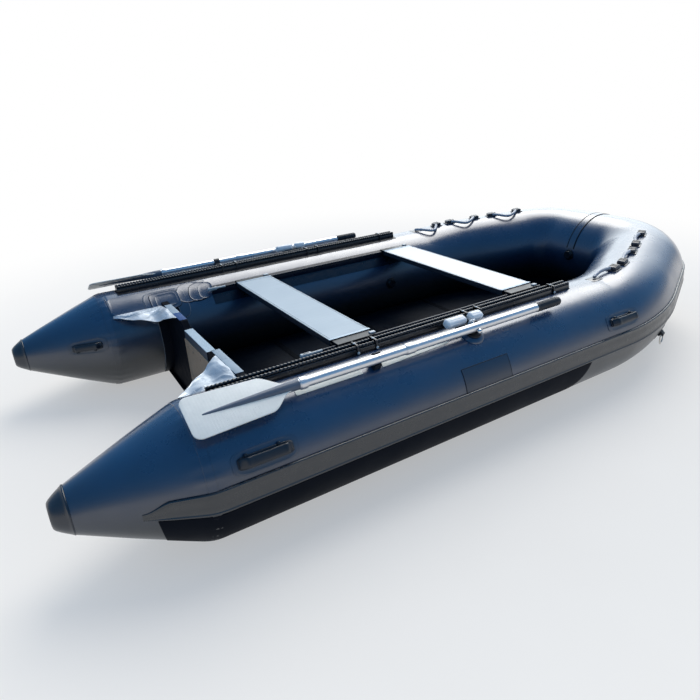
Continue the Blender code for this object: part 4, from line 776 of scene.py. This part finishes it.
def transom_holders():
    """The cloth that holds the transom to each tube, with a pale edge fore and aft."""
    mesh = skin_sheet(spread(-1.068 - JOINT_X, -0.960 - JOINT_X, 6), spread(140, 236, 40), SKIN, 0.0026)
    pair("holder_skin", mesh, "inner_fabric", stands_for="transom_holder_{}")
    edges = [skin_sheet([x - JOINT_X - 0.0012, x - JOINT_X + 0.0012], spread(141, 228, 40), 0.0006, 0.0032)
             for x in (-1.0705, -0.9575)]
    pair("holder_edge", joined(edges), "pale_line")


def gussets():
    """Creased cloth corners from each tube to the transom's aft face, pulled into folds by the transom's corner."""
    front = TRANSOM_X - TRANSOM_THICK / 2 - 0.0003
    rows, n, m, long, narrow, wide_end = [], 84, 44, 0.220, 0.014, 0.235
    for i in range(n + 1):
        u = i / n
        x = front - long * (1 - u)
        edge = on_tube(x - JOINT_X, 135.0, 0.0026)
        wide = narrow + (wide_end - narrow) * (0.80 * u + 0.20 * sin(u * pi / 2))
        row = []
        for j in range(m + 1):
            v = j / m
            crease = sin(pi * v) * sin(pi * 2 * (2.0 * u + 0.7 * v)) * min(1.0, 4 * (1 - u) + 0.3)
            crease += 0.5 * v * sin(pi * 5 * u)
            z = edge.z + (0.017 * smooth_step(0.62, 1.0, u) - 0.006) * min(1.0, 2.5 * v)
            z += 0.0050 * crease * min(1.0, 3 * v)
            fan = atan2(v * 1.1 + 0.05, 1.12 - u)
            ridge = 1 - abs(sin(fan * 9.5 + 1.1 * wobble(u, v, 0.3, 3.0)))
            z += 0.0045 * (ridge ** 2 - 0.3) * min(1.0, 5 * v) * min(1.0, 6 * (1 - u) + 0.25)
            z += 0.0022 * wobble(x, edge.y - wide * v, 0.0, 26.0, 9.0) * min(1.0, 4 * v)
            row.append(Vector((x, edge.y - wide * v, z)))
        rows.append(row)
    for made in pair("gusset_cloth", sheet_mesh(rows, 0.0014, Vector((0, 0, 1))), "silver",
                     stands_for="transom_gusset_{}", smooth=60):
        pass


def patch_mesh(s, deg, half, span, power, lift, rim, slant=0.0, steps=80):
    """A glued patch on the skin: half long in metres, span in degrees, its rim as (share of the size, height)."""
    oval = squarish(power, steps)
    rings = [[on_tube(s + half * r * c * share + slant * d * share, deg + span * r * d * share, lift + high)
              for r, c, d in oval] for share, high in rim]
    return solid(rings)


def glued(x, deg, half, span, power, lift, thick, slant=0.0):
    """A glued patch on the straight tube, with a soft raised border."""
    rim = [(1.0, 0.0), (1.0, thick), (0.975, thick + 0.0009), (0.945, thick + 0.0004)]
    rim += [(share, thick) for share in (0.91, 0.6, 0.3, 0.001)]
    return patch_mesh(x - JOINT_X, deg, half, span, power, lift, rim, slant)


def oval_patch(s, deg, half, tall, power=2.4, lift=0.0002, thick=0.0014):
    """A glued patch, its outline a squarish oval, with a raised rim."""
    rim = [(1.0, 0.0), (1.0, thick), (0.985, thick + 0.0002), (0.965, thick), (0.93, thick), (0.91, thick + 0.0003)]
    rim += [(share, thick) for share in (0.885, 0.6, 0.3, 0.001)]
    return patch_mesh(s, deg, half, degrees(tall / station(s)[3]), power, lift, rim, steps=72)


def piping(x, deg, half, span, power, size, slant=0.0):
    """A thin cord of glue along a patch's outline."""
    line = [on_tube(x + half * r * c + slant * d - JOINT_X, deg + span * r * d, 0.0012)
            for r, c, d in squarish(power, 80)]
    return sweep(line, size, 8, cyclic=True)


def tube_patch():
    """Overlapping glued patches on the inner shoulder, round the transom's holder and forward of it."""
    sheets = [glued(-1.020, 121.0, 0.240, 14.0, 14.0, 0.0002, 0.0009),
              glued(-1.005, 134.0, 0.098, 22.0, 5.0, 0.0010, 0.0012),
              glued(-0.880, 123.0, 0.062, 15.0, 2.6, 0.0016, 0.0012, -0.012),
              glued(-0.838, 125.0, 0.050, 13.5, 2.6, 0.0024, 0.0012, -0.012),
              glued(-0.806, 125.5, 0.036, 12.0, 2.6, 0.0032, 0.0012, -0.010)]
    pair("shoulder_patches", joined(sheets), "patch", smooth=30)
    layers = [glued(-1.005, 128.0, 0.068, 13.0, 5.0, 0.0022, 0.0014),
              glued(-1.000, 128.0, 0.050, 9.0, 5.0, 0.0036, 0.0008)]
    pair("holder_patch", joined(layers), "patch", smooth=30)
    dark = [piping(-1.005, 128.0, 0.0685, 13.2, 5.0, 0.0022), piping(-0.880, 123.0, 0.0625, 15.2, 2.6, 0.0018, -0.012),
            piping(-0.838, 125.0, 0.0505, 13.7, 2.6, 0.0026, -0.012)]
    pair("patch_dark_lines", joined(dark), "dark_line", smooth=60)
    slanted = [on_tube(-1.262 + 0.008 * t - JOINT_X, 103 + 27 * t, 0.0012) for t in spread(0, 1, 20)]
    pale = [piping(-1.005, 134.0, 0.0985, 22.2, 5.0, 0.0014), sweep(slanted, 0.0012, 8)]
    pair("patch_pale_lines", joined(pale), "pale_line", smooth=60)


def side_patch():
    """A plain rectangular patch on the outer side, with a thin glue line round it."""
    aft, fore, low, high = -0.351, -0.130, 13.6, 36.0
    rows = [[on_tube(x - JOINT_X, d, 0.0002) for d in spread(low, high, 16)] for x in spread(aft, fore, 12)]
    pair("side_patch", sheet_mesh(rows, 0.0009, off_axis), "side_patch", smooth=30)
    corners = ((aft, low), (fore, low), (fore, high), (aft, high))
    line = []
    for (x0, d0), (x1, d1) in zip(corners, corners[1:] + corners[:1]):
        line += [on_tube(x0 + (x1 - x0) * t - JOINT_X, d0 + (d1 - d0) * t, 0.0008) for t in spread(0, 1, 12)[:-1]]
    pair("side_patch_edge", sweep(line, 0.0012, 8, cyclic=True), "dark_line")


def oar_strips():
    """Pale strips along the tube under the oar, aft and forward of its cradle: a painted highlight where the sunlit
    tube shows between the shaft and its shadow.
    """
    meshes, edge, wide = [], 66.6, 4.6
    for a, b, thin in ((-0.950, -0.708, 1.0), (-0.628, -0.338, 0.42)):
        rows = [[on_tube(a + (b - a) * u - JOINT_X, d, 0.0003)
                 for d in spread(edge - wide * (1 - (1 - thin) * u), edge, 6)] for u in spread(0, 1, 24)]
        meshes.append(sheet_mesh(rows, 0.0016, off_axis))
    pair("oar_strips", joined(meshes), "strip", smooth=30)


# Seats and their tracks
def seat_shell(x):
    """A drawn channel with a soft-edged top, a fine line along each long edge and inturned lips."""
    half, low, wall, lip = 0.0908, -0.024, 0.0025, 0.010
    top = [(half - 0.0040, 0.0), (half - 0.0078, 0.0), (half - 0.0084, -0.0006), (half - 0.0096, -0.0006),
           (half - 0.0102, 0.0)]
    top += [(-a, b) for a, b in top[::-1]]
    corner = [(half, low), (half, -0.0038), (half - 0.0005, -0.0018), (half - 0.0018, -0.0005)]
    out = [(half - lip, low)] + corner + top + [(-a, b) for a, b in corner[::-1]] + [
        (-half + lip, low), (-half + lip, low + wall), (-half + wall, low + wall), (-half + wall, -wall),
        (half - wall, -wall), (half - wall, low + wall), (half - lip, low + wall)]
    where = Matrix(((1, 0, 0, 0), (0, 0, -1, 0), (0, 1, 0, 0), (0, 0, 0, 1)))
    return prism([(x + u, SEAT_TOP + v) for u, v in out], 0.89994, where)


def seat_parts():
    """Two benches, dark on their fore and aft faces and below the top as painted shade, a strip at each end and a pale
    stop at the track.
    """
    for name, x in (("rear", -0.572), ("front", 0.3095)):
        body = name + "_seat_body"
        bench = piece(name + "_bench", seat_shell(x), "seat_" + name, body, name + "_seat", smooth=30)
        bench.data.materials.append(LOOKS["seat_side"][1])
        # Fore and aft faces and all faces below the top take the dark painted shade
        for face in bench.data.polygons:
            face.material_index = 1 if abs(face.normal.x) > 0.5 or face.center.z < SEAT_TOP - 0.0015 else 0
        soften(name + "_slider_{}", "black", 0.0012)
        ends = [box_mesh((x - 0.0905, y - 0.0062, SEAT_TOP + 0.0001), (x + 0.0905, y + 0.0062, SEAT_TOP + 0.0013),
                         bevel=0.0005) for y in (-0.4435, 0.4435)]
        piece(name + "_seat_ends", joined(ends), "seat_end", body)
        stop = box_mesh((x + 0.0655, TRACK_Y - 0.0085, 0.4210), (x + 0.0905, TRACK_Y + 0.0085, 0.4275), bevel=0.0028)
        pair(name + "_stop", stop, "clip", body)


def track_parts():
    """A glued base strip with a standing flap and a corded bead, and its aft end, pale as a painted highlight where the
    flap's curled end catches the light.
    """
    aft, fore, bead_aft = -0.783, 0.427, -0.712
    base = skin_sheet(spread(aft - JOINT_X, fore - JOINT_X, 30), spread(122, 148, 14), SKIN, 0.0014)
    foot = RADIUS + sqrt((RADIUS + 0.001) ** 2 - (TRACK_Y - TUBE_Y) ** 2)
    flap = box_mesh((aft, TRACK_Y - 0.00125, foot), (fore, TRACK_Y + 0.00125, BEAD_Z - 0.004), bevel=0.0005)
    bead = sweep(line_points((bead_aft, TRACK_Y, BEAD_Z), (fore, TRACK_Y, BEAD_Z), 0.0022), BEAD_RADIUS * 0.99, 12,
                 pitch=0.0120, strands=1, depth=0.16)
    pair("track_strip", joined([base, flap, bead]), "track", stands_for="seat_track_{}")
    # Pale aft end: a painted highlight on the curled flap end
    end = box_mesh((-0.800, TRACK_Y - 0.0080, BEAD_Z - 0.0075), (-0.757, TRACK_Y + 0.0080, BEAD_Z + 0.0072),
                   bevel=0.0035)
    sleeve = sweep(line_points((-0.770, TRACK_Y, BEAD_Z), (-0.7125, TRACK_Y, BEAD_Z), 0.005), BEAD_RADIUS * 0.99)
    pair("track_end", joined([end, sleeve]), "clip")
    pair("track_inset", box_mesh((-0.790, TRACK_Y - 0.0036, BEAD_Z + 0.0064),
                                 (-0.765, TRACK_Y + 0.0036, BEAD_Z + 0.0076), bevel=0.0005), "track")


# Gunwale rails
def skin_z(y):
    """Height of the straight tube's top skin at a side position."""
    return RADIUS + sqrt((RADIUS + SKIN) ** 2 - (y - TUBE_Y) ** 2)


def rail_parts():
    """A strip on the tube's top with two corded beads, held down by narrow clips, on a glued base cloth."""
    top, half, length = 2 * RADIUS, 0.023, RAIL_FRONT - RAIL_AFT
    rows = []
    for u in spread(0, 1, 96):
        flare = abs(2 * u - 1) ** 5
        rows.append([on_tube(RAIL_AFT - 0.004 + (length + 0.008) * u - JOINT_X, d, 0.0003)
                     for d in spread(84.0 + 1.5 * flare, 105.0 - 2.5 * flare, 14)])
    pair("rail_base_cloth", sheet_mesh(rows, 0.0012, off_axis), "rail_base")
    out = [(RAIL_Y + y, skin_z(RAIL_Y + y)) for y in spread(-half, half, 6)]
    out += [(RAIL_Y + y, top + z) for y, z in ((0.0195, 0.0185), (0.0105, 0.0195), (0.005, 0.0170), (-0.005, 0.0170),
                                               (-0.0105, 0.0195), (-0.0195, 0.0185))]
    meshes = [prism(out, length, upright((RAIL_FRONT + RAIL_AFT) / 2), 0.0012)]
    for y in (-0.0135, 0.0135):
        line = line_points((RAIL_AFT, RAIL_Y + y, top + 0.0235), (RAIL_FRONT, RAIL_Y + y, top + 0.0235), 0.0024)
        meshes.append(sweep(line, 0.0066, 14, pitch=0.0135, strands=1, depth=0.30))
    pair("rail_strip", joined(meshes), "rail", stands_for="gunwale_rail_{}", smooth=60)
    clips, studs, foot = [], [], 0.0266
    arch = ((-0.0222, 0.0235), (-0.0218, 0.0280), (-0.0180, 0.0314), (-0.0135, 0.0322))
    for x in (-0.668, -0.591, -0.178, -0.110, 0.307):
        line = [(-foot - 0.003, skin_z(RAIL_Y - foot)), (-foot, skin_z(RAIL_Y - foot))]
        line += [(y, top + z) for y, z in arch] + [(-y, top + z) for y, z in arch[::-1]]
        line += [(foot, skin_z(RAIL_Y + foot)), (foot + 0.003, skin_z(RAIL_Y + foot))]
        rows = [[Vector((x + u, RAIL_Y + y, z)) for y, z in line] for u in (-0.0035, 0.0035)]
        clips.append(sheet_mesh(rows, 0.0012, lambda p: p - Vector((p.x, RAIL_Y, 2 * RADIUS))))
        for y, z in ((0.0, top + 0.0316), (0.0262, top + 0.0060)):
            turn = Matrix.Translation((x, RAIL_Y + y, z)) @ Matrix.Rotation(atan2(y, 0.0001) * -0.9, 4, "X")
            studs.append(lathe([(0, 0), (0.0052, 0), (0.0052, 0.0012), (0.0040, 0.0026), (0.0018, 0.0032),
                                (0, 0.0033)], turn, 20))
    pair("rail_clip", joined(clips), "rail_clip")
    pair("rail_stud", joined(studs), "clip")


# Oars
OAR = seat_frame(PIVOT_X - JOINT_X, OAR_DEG, OAR_LIFT)
NECK, GRIP_END, GRIP_LENGTH = BLADE_TIP + BLADE_LENGTH, 0.443, 0.130


def oar_parts():
    """The shaft with its collars, then the blade and the grip."""
    start, end = NECK + 0.0303, GRIP_END - GRIP_LENGTH - 0.0003
    meshes = [sweep([OAR @ Vector((x, 0, 0)) for x in spread(start, end, 40)], SHAFT, 48)]
    for x, length in ((start + 0.003, 0.024), (-0.320, 0.036)):
        profile = [(0, 0), (0.0178, 0), (0.0192, 0.0012), (0.0195, 0.004), (0.0195, length - 0.004),
                   (0.0192, length - 0.0012), (0.0178, length), (0, length)]
        turn = OAR @ Matrix.Translation((x, 0, 0)) @ Matrix.Rotation(pi / 2, 4, "Y")
        meshes.append(lathe(profile, turn))
    pair("oar_tube", joined(meshes), "shaft", "oar_{}", "oar_shaft_{}")
    blade_parts()
    grip_parts()


def blade_outline():
    """Half outline of the blade from the neck to the tip, in the oar's own frame."""
    shoulder, r = -0.085, 0.026
    half = [(NECK, SHAFT)]
    for i in range(1, 13):
        f = i / 12
        half.append((NECK + shoulder * f, SHAFT + (BLADE_HALF * 0.88 - SHAFT) * (1 - cos(pi * f)) / 2))
    for a in spread(90, 180, 12):
        half.append((BLADE_TIP + r + r * cos(radians(a)), BLADE_HALF - r + r * sin(radians(a))))
    return half


def blade_parts():
    """A thin blade with ribs along one half and a tapered spine."""
    half = blade_outline()
    meshes = [prism(half + [(x, -y) for x, y in half[::-1]], 0.0042, OAR, 0.0016, 3)]
    for i in range(4, 22):
        x = BLADE_TIP + 0.030 + i * 0.0082
        inner = 0.0040 + 0.0165 * smooth_step(BLADE_TIP + 0.06, NECK, x) * 1.15
        limit = min(y for u, y in half if abs(u - x) < 0.012) if x > NECK - 0.095 else BLADE_HALF
        outer = min(BLADE_HALF - 0.0125, limit - 0.010)
        if outer - inner >= 0.012:
            meshes += [box_mesh((x - 0.0009, inner, z - 0.0003), (x + 0.0009, outer, z + 0.0003), OAR)
                       for z in (-0.0021, 0.0021)]
    pair("blade_plate", joined(meshes), "blade", "oar_{}", "oar_blade_{}")
    length, thin = 0.270, 0.0032
    points, radii = [], []
    for x in spread(NECK - length, NECK + 0.030, 40):
        points.append(OAR @ Vector((x, 0, 0)))
        radii.append(thin + (SHAFT - thin) * min(1.0, max(0.0, (x - NECK + length) / length)) ** 0.8)
    pair("blade_spine", sweep(points, radii, 40), "spine", "oar_{}")


def grip_parts():
    """A grooved sleeve with a rounded end."""
    start, end = GRIP_END - GRIP_LENGTH, GRIP_END
    profile = [(0, start), (0.0172, start), (0.0180, start + 0.001)]
    for i in range(18):
        at = start + 0.006 + i * 0.0058
        profile += [(0.0181, at), (0.0181, at + 0.0030), (0.0171, at + 0.0038), (0.0171, at + 0.0048)]
    profile += [(0.0181, end - 0.014), (0.0176, end - 0.007), (0.0160, end - 0.003), (0.0125, end - 0.0006), (0, end)]
    pair("grip_sleeve", lathe(profile, OAR @ Matrix.Rotation(pi / 2, 4, "Y"), 40), "grip", "oar_{}",
         "oar_grip_{}", smooth=30)


def oarlock_parts():
    """The pad on the tube, the turning head with its two knuckles, and the cross pin."""
    rows = []
    for r, h in ((0.0452, 0.0003), (0.0450, 0.0030), (0.042, 0.0050), (0.034, 0.0088), (0.031, 0.0098), (0.028, 0.0100),
                 (0.010, 0.0100), (0.00001, 0.0100)):
        row = []
        for i in range(64):
            a = 2 * pi * i / 64
            x, y = r * cos(a), r * sin(a)
            drop = (sqrt(RADIUS ** 2 - y * y) - RADIUS) * (1 - smooth_step(0.0, 0.0095, h)) if h < 0.0095 else 0.0
            row.append(OAR @ Vector((x, y, -OAR_LIFT + h + drop)))
        rows.append(row)
    pair("oarlock_pad", solid(rows), "patch", stands_for="oarlock_base_{}")
    head_parts(0.0104 - OAR_LIFT)
    inner = -SHAFT - 0.0065
    back = inner - 0.0063
    profile = [(0, back - 0.0030), (0.0060, back - 0.0030), (0.0068, back - 0.0022), (0.0069, back), (0.004, back),
               (0.004, inner + 0.0003), (0.0078, inner + 0.0003), (0.0080, inner + 0.001), (0.0080, -SHAFT - 0.0012),
               (0.0078, -SHAFT - 0.0003), (0.004, -SHAFT)]
    profile += [(r, SHAFT + h) for r, h in ((0.004, 0), (0.0088, 0.0003), (0.0095, 0.0012), (0.0095, 0.0080),
                                            (0.0086, 0.0105), (0.0060, 0.0135), (0.0028, 0.0143), (0, 0.0144))]
    pair("cross_pin", lathe(profile, OAR @ Matrix.Rotation(-pi / 2, 4, "X"), 36), "steel", "oar_{}",
         "oarlock_pin_{}")


def head_parts(low):
    """The turntable, from its lower face up, and the knuckles that hold the oar."""
    top, high, ear = low + 0.006, low + 0.012, -SHAFT - 0.0065
    disc = lathe([(0.0062, low), (0.028, low), (0.029, low + 0.001), (0.029, top - 0.001), (0.028, top),
                  (0.0108, top), (0.0108, top - 0.001), (0.0062, top - 0.001), (0.0062, low)], OAR)
    arm = box_mesh((-0.056, -0.062, top - 0.002), (0.046, -0.018, high), OAR, 0.0022)
    pair("oarlock_turntable", joined([disc, arm]), "black", "oar_{}", smooth=45)
    meshes = [box_mesh((-0.014, ear - 0.006, high - 0.001), (0.014, ear, 0.013), OAR, 0.0020)]
    for a, b in ((-0.102, -0.009), (0.011, 0.071)):
        meshes.append(box_mesh((a, -0.0705, high - 0.002), (b, -0.0335, 0.0115), OAR, 0.0115, 5))
        meshes.append(box_mesh((a + 0.014, -0.0535, 0.0105), (b - 0.014, -0.0510, 0.0125), OAR, 0.0006))
    pair("oarlock_knuckles", joined(meshes), "knuckle", "oar_{}", "oarlock_head_{}", smooth=45)


def bow_fittings():
    """Grab loops; their ropes have slipped further in on the port side."""
    half = 0.084
    for place, x, clear in zip(("aft", "middle", "fore"), (0.667, 0.917, 1.167), (0.0010, 0.0003, 0.0003)):
        s = run_at(x)
        for side, swing, stand in (("port", 21.0, 0.013), ("starboard", 3.5, 0.008)):
            points = []
            for f in spread(0, 1, 48):
                bow = sin(pi * f)
                p = on_tube(s - half + 2 * half * f, 90 + swing * bow, 0.0082 + stand * bow ** 0.8)
                points.append(p if side == "port" else Vector((p.x, -p.y, p.z)))
            rope = sweep(points, 0.0086, 24, pitch=0.010, strands=3, depth=0.08, flat=0.85)
            piece(f"loop_rope_{place}_{side}", rope, "loop", stands_for=f"grab_loop_{place}_{side}", smooth=60)
        ends = []
        for side in (-1, 1):
            there = seat_frame(s + side * half, 90, clear)
            ends.append(box_mesh((-0.024, -0.0190, -0.0012), (0.024, 0.0190, 0.0185), there, 0.0060, 5))
            ends.append(box_mesh((-0.031, -0.0240, -0.0020), (0.031, 0.0240, 0.0030), there, 0.0018, 2))
            ends += [box_mesh((k - 0.0022, -0.0170, 0.0175), (k + 0.0022, 0.0170, 0.0202), there, 0.0010, 2)
                     for k in (-0.0110, 0.0, 0.0110)]
            mouth = Matrix.Translation((-side * 0.0225, 0, 0.0090)) @ Matrix.Rotation(-side * pi / 2, 4, "Y")
            ends.append(lathe([(0, 0), (0.0108, 0), (0.0108, 0.0045), (0.0095, 0.0062), (0, 0.0062)], there @ mouth,
                              24))
        pair("loop_ends_" + place, joined(ends), "lug")


def handle(name, s, deg, half, tall, patch, node):
    """A broad moulded strap handle that arches over its base, on a glued patch."""
    where = seat_frame(s, deg, 0.0014)
    pair(name + "_patch", oval_patch(s, deg, *patch), "patch", smooth=30)
    outline = [((half + 0.003) * r * c, (tall + 0.003) * r * d) for r, c, d in squarish(6.0, 64)]
    base = prism(outline, 0.0075, where @ Matrix.Translation((0, 0, 0.0018)), 0.0022, 3)
    rows = []
    for i in range(49):
        u = i / 24 - 1
        high = 0.0050 + 0.0190 * (1 - smooth_step(0.70, 1.0, abs(u)))
        wide = tall * (1 - 0.10 * (1 - abs(u)) - 0.16 * smooth_step(0.90, 1.0, abs(u)))
        thick = 0.0050 + 0.0014 * smooth_step(0.55, 0.75, abs(u))
        rows.append([where @ Vector((half * u * (1 - 0.012 * (1 - abs(d))), wide * r * c,
                                     high + thick * r * d - 0.0008 * (1 - abs(u)))) for r, c, d in squarish(2.5, 28)])
    bar = solid(rows)
    knobs = [lathe([(0, 0.0045), (0.0062, 0.0045), (0.0062, 0.0100), (0.0050, 0.0120), (0, 0.0125)],
                   where @ Matrix.Translation((u, -tall - 0.0025, 0)), 24) for u in (-half * 0.70, half * 0.52)]
    pair(name, joined([base, bar] + knobs), "handle", stands_for=node, smooth=50)


def handles():
    big, small = (0.104, 0.036, 5.0), (0.080, 0.032, 5.0)
    handle("stern_grip", -1.108 - JOINT_X, 26.5, 0.084, 0.0170, big, "stern_handle_{}")
    handle("bow_grip", run_at(0.540), 28.0, 0.080, 0.0155, big, "bow_handle_{}")
    handle("cone_grip", -1.385 - JOINT_X, 165.0, 0.062, 0.0145, small, "cone_handle_{}")


def tow_parts():
    """A bored tab on a patch and the ring that swings in it; the shift puts both on the joint's own axis."""
    deg, shift = -25.0, Vector((0.00033, 0.00100, -0.00003))
    s = run_at(0.934, deg)
    where = seat_frame(s, deg, SKIN + 0.0007 + 0.0125)
    where.translation -= shift
    turn = where @ Matrix.Rotation(pi / 2, 4, "Y")
    rows = [[turn @ Vector((r * cos(pi * i / 16), r * sin(pi * i / 16), h)) for i in range(32)]
            for r, h in ((0.0037, -0.0130), (0.0078, -0.0130), (0.0086, -0.0122), (0.0086, 0.0122), (0.0078, 0.0130),
                         (0.0037, 0.0130), (0.0037, -0.0130))]
    tab = solid(rows, caps=False)
    foot = box_mesh((-0.017, -0.012, -0.0128), (0.017, 0.012, -0.0040), where, 0.0025)
    patch = oval_patch(s, deg, 0.048, 0.034, lift=0.0001, thick=0.0007)
    pair("tow_tab_block", joined([tab, foot, patch]), "black", stands_for="tow_tab_{}")
    origin, fore = where.translation, where.col[0].to_3d()
    down = Vector((0, 0, -1))
    down = (down - fore * down.dot(fore)).normalized()
    half, drop = 0.029, 0.021
    knots = [origin + fore * u for u in (-0.0261, -0.013, 0, 0.013, 0.0261)] + [origin + fore * half + down * 0.003]
    for i in range(11):
        a = pi * i / 10
        knots.append(origin + fore * (half * cos(a)) + down * (drop + half * sin(a)))
    knots.append(origin - fore * half + down * 0.003)
    pair("tow_ring_wire", sweep(smooth_ring(knots, 5), 0.003, cyclic=True), "ring", "tow_ring_{}_body",
         "tow_ring_{}")


def valve_parts():
    """A knurled cap in each side tube and one in the bow."""
    profile = [(0.0305, -0.0035), (0.0310, 0.0028), (0.0300, 0.0040), (0.0235, 0.0042), (0.0222, 0.0050)]
    for i in range(5):
        profile += [(0.0222, 0.0052 + i * 0.0022), (0.0216, 0.0063 + i * 0.0022)]
    profile += [(0.0222, 0.0165), (0.0212, 0.0178), (0.0150, 0.0180), (0.0142, 0.0170), (0.0060, 0.0170), (0, 0.0172)]
    pair("valve_cap", lathe(profile, seat_frame(0.240 - JOINT_X, 176.0)), "black", stands_for="valve_{}")
    where = Matrix.Diagonal((1, -1, 1, 1)) @ seat_frame(BOW_RUN - 0.018, 176.0)
    piece("bow_valve_cap", lathe(profile, where), "black", stands_for="bow_valve")


def boat():
    for part in (tube_skin, stern_caps, seams, nose_band, strake, chine_guard, bottom_skin, floor_parts, transom_parts,
                 transom_holders, gussets, tube_patch, side_patch, oar_strips, seat_parts, track_parts, rail_parts,
                 oar_parts, oarlock_parts, bow_fittings, tow_parts, valve_parts, handles):
        part()
    soften("oar_cradle_{}", "black", 0.0006)


# Light, floor and camera
SKY = ((0.0, (0.62, 0.62, 0.61)), (0.10, (0.40, 0.50, 0.62)), (0.30, (0.14, 0.33, 0.60)), (0.65, (0.07, 0.24, 0.50)),
       (1.0, (0.06, 0.19, 0.38)))
GLOW_FROM, GLOW_EDGE, GLOW_CORE = (0.60, 0.58, 0.48), 46, 10
GLOW_COLOUR, GLOW_STRENGTH, HORIZON = (0.88, 0.95, 1.0), 2.6, 0.07
KEY_FROM, KEY_ANGLE, KEY_STRENGTH, KEY_COLOUR = (0.53, 0.35, 0.77), 44, 2.0, (1.0, 0.95, 0.88)
FLOOR_HALF, FADE_START, FADE_END, NEAR_WHITE = 40.0, 1.3, 4.2, 0.44
FLOOR_TONES = (0.0, (0.73, 0.675, 0.61)), (1.0, (0.77, 0.715, 0.65))
EYE, YAW, PITCH, ROLL = (-1.5964, -2.1422, 1.2637), 31.0672, 24.5382, -2.9294
FOCAL_PIXELS, PHOTO_PIXELS, SENSOR = 572.22, 700, 36


def sky():
    """White for the camera; a blue dome, a white horizon and a broad pale glow light the boat and show in its gloss."""
    world = bpy.data.worlds.new("studio")
    bpy.context.scene.world = world
    world.use_nodes = True
    world.node_tree.nodes.clear()
    net = Nodes(world.node_tree, "Generated")
    height = net.add("SeparateXYZ", {0: net.place}).outputs["Z"]
    dome = net.add("Background", {"Color": net.ramp(height, *SKY)})
    toward = net.add("VectorMath", {0: net.place, 1: Vector(GLOW_FROM).normalized()}, operation="DOT_PRODUCT")
    edge, core = (cos(radians(a)) for a in (GLOW_EDGE, GLOW_CORE))
    glow = net.eased(toward.outputs["Value"], edge, core)
    pale = net.add("Background", {"Color": GLOW_COLOUR, "Strength": GLOW_STRENGTH})
    both = net.add("MixShader", {0: glow, 1: dome.outputs[0], 2: pale.outputs[0]})
    low = net.math("MULTIPLY", net.seen("Is Glossy Ray", "Is Transmission Ray"),
                   net.eased(height, 0.0, HORIZON, 1.0, 0.0))
    share = net.math("MAXIMUM", net.seen("Is Camera Ray"), net.math("SUBTRACT", low, glow, use_clamp=True))
    white = net.add("Background", {"Color": (1, 1, 1)})
    mix = net.add("MixShader", {0: share, 1: both.outputs[0], 2: white.outputs[0]})
    net.add("OutputWorld", {"Surface": mix.outputs[0]})


def floor():
    """A pale floor that fades into the white background away from the boat."""
    mesh = bpy.data.meshes.new("floor")
    mesh.from_pydata([(x * FLOOR_HALF, y * FLOOR_HALF, 0) for x, y in ((-1, -1), (1, -1), (1, 1), (-1, 1))], [],
                     [(0, 1, 2, 3)])
    ground = bpy.data.objects.new("floor", mesh)
    bpy.context.scene.collection.objects.link(ground)
    ground.location.z = -0.0005
    mat = bpy.data.materials.new("floor_look")
    mesh.materials.append(mat)
    mat.use_nodes = True
    mat.node_tree.nodes.clear()
    net = Nodes(mat.node_tree)
    length = net.add("VectorMath", {0: net.place}, operation="LENGTH").outputs["Value"]
    share = net.math("MULTIPLY", net.eased(length, FADE_START, FADE_END, NEAR_WHITE, 1.0),
                     net.seen("Is Camera Ray", "Is Glossy Ray", "Is Transmission Ray"))
    pale = net.add("BsdfDiffuse", {"Color": net.ramp(net.noise(3.0, 2.0), *FLOOR_TONES)})
    white = net.add("Emission", {"Strength": 1.0})
    mix = net.add("MixShader", {0: share, 1: pale.outputs[0], 2: white.outputs[0]})
    net.add("OutputMaterial", {"Surface": mix.outputs[0]})


def lamps():
    """One key high behind the boat."""
    data = bpy.data.lights.new("key", "SUN")
    data.energy, data.angle, data.color = KEY_STRENGTH, radians(KEY_ANGLE), KEY_COLOUR
    lamp = bpy.data.objects.new("key", data)
    bpy.context.scene.collection.objects.link(lamp)
    lamp.rotation_mode = "QUATERNION"
    lamp.rotation_quaternion = Vector(KEY_FROM).normalized().to_track_quat("Z", "Y")


def camera():
    """The photograph's camera: its place, its turn and its field of view."""
    yaw, pitch, roll = (radians(a) for a in (YAW, PITCH, ROLL))
    ahead = Vector((sin(yaw) * cos(pitch), cos(yaw) * cos(pitch), -sin(pitch)))
    right = Vector((cos(yaw), -sin(yaw), 0))
    up = right.cross(ahead)
    r = cos(roll) * right + sin(roll) * up
    u = -sin(roll) * right + cos(roll) * up
    data = bpy.data.cameras.new("camera")
    data.lens, data.sensor_width = FOCAL_PIXELS / PHOTO_PIXELS * SENSOR, SENSOR
    data.clip_start, data.clip_end = 0.05, 100
    cam = bpy.data.objects.new("camera", data)
    bpy.context.scene.collection.objects.link(cam)
    cam.matrix_world = Matrix.Translation(EYE) @ Matrix((r, u, -ahead)).transposed().to_4x4()
    bpy.context.scene.camera = cam


camera()
boat()
sky()
floor()
lamps()
bpy.context.scene.view_settings.view_transform = "Standard"
